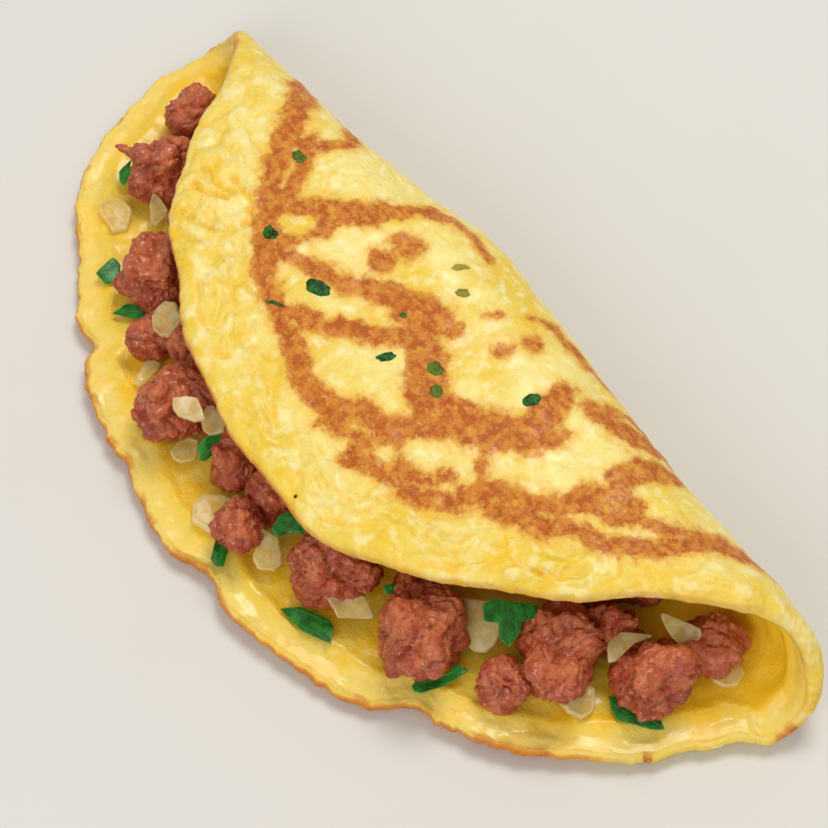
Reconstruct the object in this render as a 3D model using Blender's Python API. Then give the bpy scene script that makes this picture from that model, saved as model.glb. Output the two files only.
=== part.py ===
"""Folded omelette with a sausage and onion filling, for Blender 4.5.

Sizes are in millimetres and are turned into metres as each mesh is finished.
X runs along the fold, +Y is the folded back, -Y the open mouth, and Z = 0 is the face that it lies on.
"""

import math
from collections import namedtuple
from functools import lru_cache

import bmesh
import bpy
from mathutils import Euler, Matrix, Vector, noise

MM = 0.001

# The egg sheet, laid flat, is a rough disc. Its rim is this far from its middle, every 15 degrees
# from the left end of the fold, round the lower flap, the right end and then the upper flap.
RIM_REACH = (
    95.4, 95.8, 91.3, 84.1, 82.0, 82.6,
    83.8, 83.9, 83.6, 86.0, 91.3, 96.3,
    101.0, 88.5, 80.1, 79.1, 80.4, 82.6,
    82.3, 79.3, 76.6, 76.1, 77.8, 81.0,
)
DISC_MIDDLE = -8.0  # how far the disc's middle lies below the middle of the fold's bend
SHEET_THICK = 5.0
RIM_ROUND = 3.2  # width over which the sheet rounds off to its edge
RIM_WAVE = 1.1  # how far the rim wanders in and out
RIM_WAVES = ((11, 0.7, 0.5), (19, 2.0, 0.4))  # how many go round, where they start, and their share
EDGE_NICKS = ((-127.5, 2.4, 2.4), (-84.0, 2.4, 3.2), (-49.0, 2.2, 3.2))  # angle, depth, half width
SHEET_CELLS = 32
CELL_CROWDING = 0.36  # how much closer the cells lie near the rim
WELD = 0.001

# The bend
BACK_Y = -30.0
BACK_BULGE = 6.0  # the fold stands out furthest near its middle
BULGE_X = -8.0
BULGE_LEFT, BULGE_RIGHT = 24.0, 46.0
BACK_END_TURN = 4.0
BEND_RADIUS = 12.5
BEND_LEFT_LOSS = 3.5
BEND_RIGHT_GAIN = 0.5

# The upper flap
FLAP_EDGE_HEIGHT = 22.0
FLAP_EDGE_LEFT_LOSS = 2.5
FLAP_REACH = 62.0
FLAP_DROOP = 2.2  # the power with which it droops towards its edge
FLAP_SWELL = 0.9
SWELL_LENGTH, SWELL_WIDTH, SWELL_START = 24.0, 22.0, 18.0
EDGE_STEP, LONGEST_RUN = 0.5, 120.0

# The lower flap's rim lifts off the ground in a few low waves
RIM_LIFT = 0.9
LIFT_WAVES = 9
LIFT_WIDTH = 9.0

# The filling
GAP = 0.35
CORE_LEFT, CORE_RIGHT = -68.0, 70.0
CORE_STATIONS = 22
CORE_SIDES = 18
CORE_SETBACK = 9.0
CORE_LUMP = 1.6
CORE_LUMP_SIZE = 7.0
CORE_BACK_ROOM = 4.0
CORE_TUCK = 0.5  # how far its ends draw in

# Each lump of sausage: x, y, half length, half width, half height, turn in degrees
SAUSAGE = (
    (-78.5, -48.0, 6.2, 5.6, 6.0, 20),
    (-71.0, -61.0, 7.6, 6.4, 6.8, 60),
    (-50.5, -76.0, 8.6, 7.8, 7.4, 80),
    (-39.0, -84.8, 5.2, 4.8, 5.0, 30),
    (-31.5, -80.5, 5.8, 5.0, 5.8, 120),
    (-22.3, -91.5, 9.0, 7.8, 7.6, 100),
    (-5.5, -89.0, 5.6, 5.6, 6.0, 30),
    (6.0, -97.0, 5.8, 5.0, 5.6, 140),
    (5.0, -87.5, 5.4, 5.0, 6.0, 60),
    (25.5, -88.5, 11.6, 8.2, 7.8, 165),
    (45.5, -83.5, 9.8, 9.0, 8.0, 130),
    (65.5, -66.5, 10.4, 8.0, 7.8, 130),
    (63.0, -76.5, 4.9, 4.4, 4.8, 30),
    (67.2, -55.0, 6.4, 5.4, 6.6, 20),
    (79.6, -55.5, 7.4, 7.0, 7.3, 30),
    (81.5, -42.5, 6.4, 6.0, 6.6, 70),
)
SAUSAGE_RINGS, SAUSAGE_SEGMENTS = 8, 12
SAUSAGE_LUMP = 0.22
SAUSAGE_SQUARENESS = 2.2
SAUSAGE_SEAT = 0.93  # a lump stands on this share of its half height
LUMP_SIZE = 4.5

# Each piece of onion: its middle, how far it leans towards the viewer and to their right, its
# thickness, and its outline as the viewer sees it, across and up from the middle
ONION = (
    ((-70.9, -73.9, 6.6), 4, 0, 2.0, (
        (-3.4, 2.0), (-2.0, 3.1), (0.8, 3.1), (3.5, 1.1), (3.6, -0.6), (2.8, -3.1), (-0.2, -3.8),
        (-1.5, -1.9), (-3.1, -0.1),
    )),
    ((-65.1, -66.9, 8.6), 42, 8, 2.2, (
        (-0.7, 4.0), (0.5, 2.4), (2.1, -0.1), (1.5, -1.5), (-0.4, -3.4), (-1.5, -2.6), (-1.7, 1.0),
        (-1.2, 3.1),
    )),
    ((-38.4, -82.8, 15.5), 16, -14, 2.6, (
        (-0.1, 3.4), (1.7, 3.1), (3.6, -0.3), (2.9, -1.3), (0.8, -4.0), (-1.3, -3.6), (-2.5, -2.6),
        (-2.7, -0.1), (-1.7, 2.0),
    )),
    ((-35.1, -89.9, 6.4), 4, 0, 1.6, (
        (0.1, 2.7), (2.1, 1.7), (1.5, 0.2), (-0.6, -1.9), (-2.4, -2.9), (-3.1, -2.2), (-2.0, 0.2),
        (-1.0, 2.0),
    )),
    ((-16.2, -92.9, 20.7), 8, 6, 1.8, (
        (-2.9, 1.9), (-0.2, 2.1), (1.9, 1.8), (3.1, -0.8), (3.5, -2.4), (1.5, -2.6), (-1.7, -1.5),
        (-2.8, -0.1),
    )),
    ((-13.7, -89.2, 16.0), 22, -10, 2.2, (
        (-1.0, 2.7), (0.6, 2.5), (2.8, -0.8), (2.6, -2.6), (-0.2, -3.5), (-1.7, -2.2), (-2.0, -0.1),
        (-1.3, 1.7),
    )),
    ((-15.7, -95.1, 7.6), 16, 0, 2.2, (
        (1.0, 2.4), (2.8, 1.7), (2.6, -1.2), (1.9, -2.2), (-0.6, -2.8), (-2.2, -1.9), (-2.7, -0.5),
        (-1.3, 1.3),
    )),
    ((-1.3, -98.7, 7.0), 4, 4, 2.6, (
        (-1.7, 3.4), (1.9, 3.1), (5.1, 1.3), (4.4, -0.8), (2.9, -3.6), (-0.2, -4.0), (-2.0, -2.9),
        (-3.8, -1.9), (-3.8, 1.3),
    )),
    ((13.0, -95.9, 9.4), 26, 6, 2.8, (
        (-1.0, 4.4), (2.2, 2.4), (2.8, -0.5), (2.9, -2.9), (1.5, -4.1), (-1.7, -3.6), (-2.7, -1.5),
        (-2.0, 1.0), (-1.7, 3.4),
    )),
    ((32.7, -90.6, 11.4), 34, 0, 2.6, (
        (-4.5, 1.0), (-3.1, 2.0), (2.2, 2.0), (3.3, 0.6), (4.8, -2.7), (3.3, -2.9), (-2.4, -2.6),
        (-3.3, -0.8),
    )),
    ((50.2, -74.6, 12.4), 26, -12, 3.0, (
        (-5.2, 4.6), (-1.5, 4.4), (3.5, 3.8), (5.2, 0.5), (5.0, -2.0), (3.8, -4.6), (2.2, -5.9),
        (0.4, -6.0), (-1.9, -4.2), (-3.2, -1.0), (-4.6, 2.2),
    )),
    ((73.0, -67.8, 7.2), 10, 6, 2.6, (
        (-3.8, -0.1), (-3.6, 1.0), (-0.6, 2.5), (1.9, 2.7), (3.1, 2.2), (3.3, -0.5), (2.6, -2.2),
        (0.8, -3.3), (-2.0, -2.2),
    )),
    ((72.3, -56.3, 14.4), 18, 0, 1.6, (
        (-3.1, 1.7), (-2.4, 2.5), (-0.2, 2.8), (5.1, 2.2), (4.7, 1.5), (2.2, 1.0), (0.8, -0.1),
        (-1.7, -2.6), (-3.3, -2.9), (-3.5, -0.8),
    )),
    ((77.0, -47.0, 17.0), 24, -10, 2.0, (
        (-3.8, 3.3), (-2.9, 3.4), (3.6, 0.6), (3.8, -0.5), (2.9, -2.6), (1.9, -3.3), (-0.2, -2.6),
        (-2.0, -0.8), (-3.4, 1.7),
    )),
    ((85.4, -42.7, 8.6), 14, 0, 2.6, (
        (-3.3, -0.5), (-2.0, 1.7), (0.8, 2.7), (2.9, 1.3), (3.8, -0.5), (2.6, -2.6), (0.1, -3.1),
        (-2.0, -2.2),
    )),
)
ONION_RINGS, ONION_SEGMENTS = 6, 12
ONION_SQUARENESS = 8.0
VIEWER_TURN, VIEWER_RISE = 52.5, 59.5

# How the pieces are pressed together
CONTACT_RANGE = 1.25  # pieces whose middles are within this many of their reaches touch
LEAST_REACH = 0.3
HALVINGS = 14
EDGE_ROOM = 3.0

EGG = ("cooked_egg", (0.90, 0.72, 0.20, 1.0), 0.42)
MEAT = ("sausage_meat", (0.42, 0.13, 0.09, 1.0), 0.45)
ONION_FLESH = ("cooked_onion", (0.74, 0.66, 0.36, 1.0), 0.30)


def clear_scene():
    for thing in list(bpy.data.objects):
        bpy.data.objects.remove(thing)


def material(look):
    name, colour, roughness = look
    made = bpy.data.materials.get(name) or bpy.data.materials.new(name)
    made.use_nodes = True
    shader = made.node_tree.nodes["Principled BSDF"]
    shader.inputs["Base Color"].default_value = colour
    shader.inputs["Roughness"].default_value = roughness
    shader.inputs["Metallic"].default_value = 0.0
    return made


def ease(start, end, value):
    """0 before start, 1 after end, and smooth between them."""
    share = min(1.0, max(0.0, (value - start) / (end - start)))
    return share * share * (3 - 2 * share)


def bend_radius(x):
    """Radius of the middle of the sheet round the fold, tighter at the left end."""
    return BEND_RADIUS - BEND_LEFT_LOSS * ease(30, 95, -x) + BEND_RIGHT_GAIN * ease(40, 95, x)


def back_line(x):
    """Where the middle of the sheet is furthest back."""
    half_width = BULGE_LEFT if x < BULGE_X else BULGE_RIGHT
    bulge = BACK_BULGE * math.exp(-(((x - BULGE_X) / half_width) ** 2))
    return BACK_Y + bulge - BACK_END_TURN * ease(88, 106, x)


def rim_reach(degrees):
    """Distance from the disc's middle to its rim, a smooth curve through RIM_REACH, less its nicks."""
    step = 360.0 / len(RIM_REACH)
    place = (degrees + 180.0) % 360.0 / step
    first = int(place)
    t = place - first
    a, b, c, d = (RIM_REACH[(first + k) % len(RIM_REACH)] for k in (-1, 0, 1, 2))
    reach = b + 0.5 * t * (c - a + t * (2 * a - 5 * b + 4 * c - d + t * (3 * (b - c) + d - a)))
    turn = math.radians(degrees)
    reach += RIM_WAVE * sum(share * math.sin(count * turn + start) for count, start, share in RIM_WAVES)
    for angle, depth, half_width in EDGE_NICKS:
        reach -= depth * math.exp(-(((degrees - angle) / half_width) ** 2))
    return reach


def fold(x, s):
    """Middle of the folded sheet at x along the fold and s from the middle of the bend."""
    radius = bend_radius(x)
    centre_y = back_line(x) - radius
    quarter = math.pi * radius / 2
    turn = min(1.0, max(-1.0, s / quarter)) * math.pi / 2
    y = centre_y + radius * math.cos(turn)
    z = SHEET_THICK / 2 + radius * (1 + math.sin(turn))
    if s < -quarter:
        y += s + quarter
    if s > quarter:
        run = s - quarter
        y -= run
        edge = FLAP_EDGE_HEIGHT - FLAP_EDGE_LEFT_LOSS * ease(20, 80, -x)
        z += (edge - z) * min(1.4, run / FLAP_REACH) ** FLAP_DROOP
        swell = noise.noise(Vector((x / SWELL_LENGTH, run / SWELL_WIDTH, 4.0)))
        z += FLAP_SWELL * swell * ease(0, SWELL_START, run)
    return Vector((x, y, z))


def fold_normal(x, s):
    """Outward direction of the folded sheet, away from the filling."""
    step = 0.5
    along_x = fold(x + step, s) - fold(x - step, s)
    along_s = fold(x, s + step) - fold(x, s - step)
    return along_s.cross(along_x).normalized()


def disc_point(a, b):
    """Square coordinates from -1 to 1 taken to the disc: x, s, distance from the rim and angle."""
    u = a * math.sqrt(1 - b * b / 2)
    v = b * math.sqrt(1 - a * a / 2)
    angle = math.degrees(math.atan2(v, u))
    reach = rim_reach(angle)
    out = min(1.0, math.hypot(u, v))
    x = reach * out * math.cos(math.radians(angle))
    s = DISC_MIDDLE + reach * out * math.sin(math.radians(angle))
    return x, s, reach * (1 - out), angle


def toward_rim(w):
    """Cell lines from -1 to 1, drawn closer together near the rim."""
    return w * (1 + CELL_CROWDING * (1 - w * w))


def half_thickness(from_rim):
    share = min(1.0, max(0.0, from_rim / RIM_ROUND))
    return SHEET_THICK / 2 * math.sqrt(1 - (1 - share) ** 2)


def sheet_point(a, b, side):
    """A point on the outer (side 1) or inner (side -1) face of the folded sheet."""
    x, s, from_rim, angle = disc_point(a, b)
    place = fold(x, s) + fold_normal(x, s) * (side * half_thickness(from_rim))
    if s < -math.pi * bend_radius(x) / 2:
        wave = 0.5 + 0.5 * math.sin(math.radians(angle) * LIFT_WAVES + 1.0)
        place.z += RIM_LIFT * wave * (1 - ease(0, LIFT_WIDTH, from_rim))
    return place


def finish(name, form, look):
    """Turns a bmesh in millimetres into a named object in metres."""
    bmesh.ops.scale(form, vec=(MM, MM, MM), verts=form.verts)
    mesh = bpy.data.meshes.new(name)
    form.to_mesh(mesh)
    form.free()
    mesh.shade_smooth()
    mesh.materials.append(material(look))
    made = bpy.data.objects.new(name, mesh)
    bpy.context.scene.collection.objects.link(made)
    return made


def make_egg_sheet():
    """Two grids, the outer and the inner face, that meet in the round of the rim."""
    form = bmesh.new()
    bmesh.ops.create_grid(form, x_segments=SHEET_CELLS, y_segments=SHEET_CELLS, size=1.0)
    outer = list(form.verts)
    copied = bmesh.ops.duplicate(form, geom=form.verts[:] + form.edges[:] + form.faces[:])
    inner = [v for v in copied["geom"] if isinstance(v, bmesh.types.BMVert)]
    for verts, side in ((outer, 1), (inner, -1)):
        for vert in verts:
            vert.co = sheet_point(toward_rim(vert.co.x), toward_rim(vert.co.y), side)
    bmesh.ops.remove_doubles(form, verts=form.verts, dist=WELD)
    bmesh.ops.recalc_face_normals(form, faces=form.faces)
    return finish("egg_sheet", form, EGG)


def ceiling(x, y):
    """Height of the upper flap's underside over (x, y), or of the bend's inner wall."""
    radius = bend_radius(x)
    centre_y = back_line(x) - radius
    if y > centre_y:
        inside = radius - SHEET_THICK / 2
        rise = inside * inside - (y - centre_y) ** 2
        return SHEET_THICK / 2 + radius + (math.sqrt(rise) if rise > 0 else -radius)
    s = math.pi * radius / 2 + centre_y - y
    normal = fold_normal(x, s)
    return fold(x, s).z - SHEET_THICK / 2 / normal.z


def floor_height(x, y):
    """Height of the lower flap's upper side, which curves up into the bend."""
    radius = bend_radius(x)
    centre_y = back_line(x) - radius
    if y <= centre_y:
        return SHEET_THICK
    inside = radius - SHEET_THICK / 2
    rise = inside * inside - (y - centre_y) ** 2
    return SHEET_THICK / 2 + radius - (math.sqrt(rise) if rise > 0 else 0.0)


@lru_cache(maxsize=None)
def flap_edge(x):
    """How far forward, in y, the upper flap comes at x, found by stepping along the sheet."""
    radius = bend_radius(x)
    run = 0.0
    while run < LONGEST_RUN:
        s = math.pi * radius / 2 + run
        angle = math.degrees(math.atan2(s - DISC_MIDDLE, x))
        if math.hypot(x, s - DISC_MIDDLE) > rim_reach(angle):
            break
        run += EDGE_STEP
    return back_line(x) - radius - run


def core_front(x):
    """Front of the filling that runs through the fold, behind the lumps that show."""
    line = flap_edge(round(x, 1)) + CORE_SETBACK
    back = back_line(x) - bend_radius(x) - CORE_BACK_ROOM
    return min(back, line + 1.5 * math.sin(x / 6.0))


def core_ring(x, share):
    """A point of the core's cross-section at x. Share 0 to 1 runs from its lower front over its back."""
    radius = bend_radius(x)
    inside = radius - SHEET_THICK / 2 - 2 * GAP
    centre_y = back_line(x) - radius
    front = core_front(x)
    flat = centre_y - front
    bottom = SHEET_THICK + 2 * GAP
    lengths = (flat, math.pi * inside, flat)
    along = share * sum(lengths)
    if along <= lengths[0]:
        return Vector((x, front + along, bottom))
    along -= lengths[0]
    if along <= lengths[1]:
        turn = along / inside - math.pi / 2
        return Vector((x, centre_y + inside * math.cos(turn), bottom + inside * (1 + math.sin(turn))))
    y = centre_y - (along - lengths[1])
    return Vector((x, y, ceiling(x, y) - 2 * GAP))


def make_core():
    """The sausage filling inside the fold: one lumpy solid that runs through from end to end."""
    form = bmesh.new()
    bmesh.ops.create_cone(
        form, cap_ends=True, cap_tris=False, segments=CORE_SIDES, radius1=1, radius2=1, depth=1
    )
    sides = [e for e in form.edges if abs(e.verts[0].co.z - e.verts[1].co.z) > 0.5]
    bmesh.ops.subdivide_edges(form, edges=sides, cuts=CORE_STATIONS)
    for vert in form.verts:
        turn = math.atan2(vert.co.y, vert.co.x) % (2 * math.pi)
        share = round(turn / (2 * math.pi) * CORE_SIDES) / (CORE_SIDES - 1)
        along = vert.co.z + 0.5
        x = CORE_LEFT + (CORE_RIGHT - CORE_LEFT) * along
        place = core_ring(x, min(1.0, share))
        middle = Vector((x, (core_front(x) + back_line(x)) / 2, bend_radius(x) + SHEET_THICK / 2))
        tuck = CORE_TUCK * (ease(0.93, 1.0, along) + ease(0.93, 1.0, 1 - along))
        lump = CORE_LUMP * (0.5 + 0.5 * noise.noise(place / CORE_LUMP_SIZE))
        inward = middle - place
        place += inward * tuck + inward.normalized() * lump
        place.z = max(place.z, SHEET_THICK + 2 * GAP)
        vert.co = place
    bmesh.ops.recalc_face_normals(form, faces=form.faces)
    return finish("filling_core", form, MEAT)


Morsel = namedtuple("Morsel", "name look centre halves turned outline squareness lump rings segments")


def outline_reach(outline, angle):
    """How far an outline lies from its middle in this direction."""
    dx, dy = math.cos(angle), math.sin(angle)
    for (ax, ay), (bx, by) in zip(outline, outline[1:] + outline[:1]):
        turn_a, turn_b = dx * ay - dy * ax, dx * by - dy * bx
        if turn_a <= 0 < turn_b:
            share = turn_a / (turn_a - turn_b)
            return (ax + share * (bx - ax)) * dx + (ay + share * (by - ay)) * dy
    raise ValueError("the middle must lie inside the outline")


def natural_reach(outward, shape):
    """Distance from a morsel's middle to its skin: an egg shape, or a slab with an outline of its own."""
    direction = shape.turned.transposed() @ outward
    if shape.outline:
        flat = math.hypot(direction.x, direction.y)
        shares = (flat / outline_reach(shape.outline, math.atan2(direction.y, direction.x)),
                  abs(direction.z) / shape.halves[2])
    else:
        shares = [abs(d) / h for d, h in zip(direction, shape.halves)]
    return sum(share**shape.squareness for share in shares) ** (-1.0 / shape.squareness)


def held_clear(place, shape, planes):
    """Whether a point of a morsel is clear of the egg, the core and its neighbours."""
    if place.z < floor_height(place.x, place.y) + GAP:
        return False
    if place.y > flap_edge(round(place.x, 1)) - EDGE_ROOM and place.z > ceiling(place.x, place.y) - GAP:
        return False
    if CORE_LEFT - 1 < place.x < CORE_RIGHT + 1 and place.y > core_front(place.x) - GAP:
        return False
    return all((place - shape.centre).dot(normal) < offset for normal, offset in planes)


def contact_planes(shape, others):
    """The flat faces, as normal and offset, along which a morsel presses on its neighbours."""
    planes = []
    for other in others:
        apart = other.centre - shape.centre
        normal = apart.normalized()
        own, their = natural_reach(normal, shape), natural_reach(-normal, other)
        if apart.length < CONTACT_RANGE * (own + their):
            planes.append((normal, apart.length * own / (own + their) - GAP / 2))
    return planes


def make_morsel(shape, others):
    """A piece of filling: rounded body, lumpy skin, pressed flat where it meets its neighbours."""
    planes = contact_planes(shape, others)
    form = bmesh.new()
    bmesh.ops.create_uvsphere(form, u_segments=shape.segments, v_segments=shape.rings, radius=1.0)
    for vert in form.verts:
        spread = Vector(part * half for part, half in zip(vert.co, shape.halves))
        outward = (shape.turned @ spread).normalized()
        reach = natural_reach(outward, shape)
        reach *= 1 + shape.lump * noise.noise((shape.centre + outward * reach) / LUMP_SIZE)
        low, high = LEAST_REACH, reach
        if not held_clear(shape.centre + outward * high, shape, planes):
            for _ in range(HALVINGS):
                middle = (low + high) / 2
                if held_clear(shape.centre + outward * middle, shape, planes):
                    low = middle
                else:
                    high = middle
            reach = low
        vert.co = shape.centre + outward * reach
    return finish(shape.name, form, shape.look)


def sausage_lump(number, x, y, half_length, half_width, half_height, turn):
    centre = Vector((x, y, SHEET_THICK + GAP + SAUSAGE_SEAT * half_height))
    halves = (half_length, half_width, half_height)
    turned = Euler((0, 0, math.radians(turn))).to_matrix()
    cells = (SAUSAGE_RINGS, SAUSAGE_SEGMENTS)
    name = f"sausage_{number:02d}"
    return Morsel(name, MEAT, centre, halves, turned, (), SAUSAGE_SQUARENESS, SAUSAGE_LUMP, *cells)


def onion_piece(number, middle, lean, roll, thick, seen_outline):
    """A flat piece that leans as given and has this outline from where the viewer stands."""
    turn, rise = math.radians(VIEWER_TURN), math.radians(VIEWER_RISE)
    right = Vector((math.cos(turn), math.sin(turn), 0.0))
    away = Vector((-right.y, right.x, 0.0))
    toward = Vector((0, 0, 1)) * math.sin(rise) - away * math.cos(rise)
    up = toward.cross(right)
    lean, roll = math.radians(lean), math.radians(roll)
    normal = Vector((0, 0, 1)) * math.cos(lean) - away * math.sin(lean)
    normal = (normal * math.cos(roll) + right * math.sin(roll)).normalized()
    corners = [right * across + up * above for across, above in seen_outline]
    corners = [corner - toward * (corner.dot(normal) / toward.dot(normal)) for corner in corners]
    centre = sum(corners, Vector()) / len(corners)
    along = (corners[0] - centre).normalized()
    across = normal.cross(along)
    outline = [((corner - centre).dot(along), (corner - centre).dot(across)) for corner in corners]
    outline = tuple(sorted(outline, key=lambda corner: math.atan2(corner[1], corner[0])))
    mean = sum(math.hypot(*corner) for corner in outline) / len(outline)
    turned = Matrix((along, across, normal)).transposed()
    cells = (ONION_RINGS, ONION_SEGMENTS)
    body = (Vector(middle) + centre, (mean, mean, thick / 2), turned, outline)
    return Morsel(f"onion_{number:02d}", ONION_FLESH, *body, ONION_SQUARENESS, 0.0, *cells)


def morsel_shapes():
    """Every lump of sausage and piece of onion."""
    lumps = [sausage_lump(number, *row) for number, row in enumerate(SAUSAGE, 1)]
    return lumps + [onion_piece(number, *row) for number, row in enumerate(ONION, 1)]


def make_morsels():
    shapes = morsel_shapes()
    return [make_morsel(shape, [other for other in shapes if other is not shape]) for shape in shapes]


def centre_on_origin(objects):
    """Moves the meshes so that the middle of the whole box is over the origin."""
    points = [v.co for thing in objects for v in thing.data.vertices]
    middle = [(min(p[k] for p in points) + max(p[k] for p in points)) / 2 for k in (0, 1)]
    bottom = min(p.z for p in points)
    for thing in objects:
        for vert in thing.data.vertices:
            vert.co -= Vector((middle[0], middle[1], bottom))


def main():
    clear_scene()
    objects = [make_egg_sheet(), make_core(), *make_morsels()]
    centre_on_origin(objects)


main()
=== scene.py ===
"""Looks for a folded omelette with a sausage, onion and parsley filling, for Blender 4.5.

Run as a script. Each piece has an operator, and the sizes and colours are in the scene's properties.
Sizes in the tables are in millimetres in the drawing's own frame: X runs along the fold, +Y is the
folded back, and s is the distance along the egg sheet from the middle of its bend, towards the upper flap.
"""

import math

import bmesh
import bpy
import numpy as np
from bpy.props import FloatProperty, FloatVectorProperty, IntProperty, PointerProperty
from bpy.types import Operator, Panel, PropertyGroup
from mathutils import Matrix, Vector, noise


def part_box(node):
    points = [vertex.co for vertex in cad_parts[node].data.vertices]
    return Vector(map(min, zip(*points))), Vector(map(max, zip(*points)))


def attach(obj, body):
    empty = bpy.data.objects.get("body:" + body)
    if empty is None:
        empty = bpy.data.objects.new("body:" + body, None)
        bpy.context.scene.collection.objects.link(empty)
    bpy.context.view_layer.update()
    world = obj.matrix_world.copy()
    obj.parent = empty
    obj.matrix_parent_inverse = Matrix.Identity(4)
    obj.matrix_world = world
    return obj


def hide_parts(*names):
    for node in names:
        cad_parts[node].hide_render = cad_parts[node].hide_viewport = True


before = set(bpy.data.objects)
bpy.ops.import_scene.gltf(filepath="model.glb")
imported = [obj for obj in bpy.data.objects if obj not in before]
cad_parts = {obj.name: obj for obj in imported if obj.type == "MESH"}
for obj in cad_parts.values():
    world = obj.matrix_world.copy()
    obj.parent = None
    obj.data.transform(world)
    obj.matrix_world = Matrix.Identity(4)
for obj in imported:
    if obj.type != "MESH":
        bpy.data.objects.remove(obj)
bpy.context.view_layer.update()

bl_info = {
    "name": "Folded Omelette",
    "version": (1, 0, 0),
    "blender": (4, 5, 0),
    "location": "View3D > Sidebar > Omelette",
    "description": "Builds a folded omelette with its filling around the CAD model",
    "category": "Add Mesh",
}

MM = 0.001

# The egg sheet, laid flat, is a rough disc. Its rim is this far from its middle, every 15 degrees
# from the left end of the fold, round the lower flap, the right end and then the upper flap.
RIM_REACH = (
    95.4, 95.8, 91.3, 84.1, 82.0, 82.6,
    83.8, 83.9, 83.6, 86.0, 91.3, 96.3,
    101.0, 88.5, 80.1, 79.1, 80.4, 82.6,
    82.3, 79.3, 76.6, 76.1, 77.8, 81.0,
)
DISC_MIDDLE = -8.0
SHEET_THICK = 5.0
RIM_ROUND = 3.2
RIM_WAVE = 1.1
RIM_WAVES = ((11, 0.7, 0.5), (19, 2.0, 0.4))  # how many go round, where they start, and their share
EDGE_NICKS = ((-127.5, 2.4, 2.4), (-84.0, 2.4, 3.2), (-49.0, 2.2, 3.2))
CAD_CELLS = 32
CELL_CROWDING = 0.36
WELD = 0.001

# The bend and the upper flap
BACK_Y = -30.0
BACK_BULGE = 6.0
BULGE_X = -8.0
BULGE_LEFT, BULGE_RIGHT = 24.0, 46.0
BACK_END_TURN = 4.0
BEND_RADIUS = 12.5
BEND_LEFT_LOSS = 3.5
BEND_RIGHT_GAIN = 0.5
FLAP_EDGE_HEIGHT = 22.0
FLAP_EDGE_LEFT_LOSS = 2.5
FLAP_REACH = 62.0
FLAP_DROOP = 2.2
FLAP_SWELL = 0.9
SWELL_LENGTH, SWELL_WIDTH, SWELL_START = 24.0, 22.0, 18.0
RIM_LIFT = 0.9
LIFT_WAVES = 9
LIFT_WIDTH = 9.0

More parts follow.
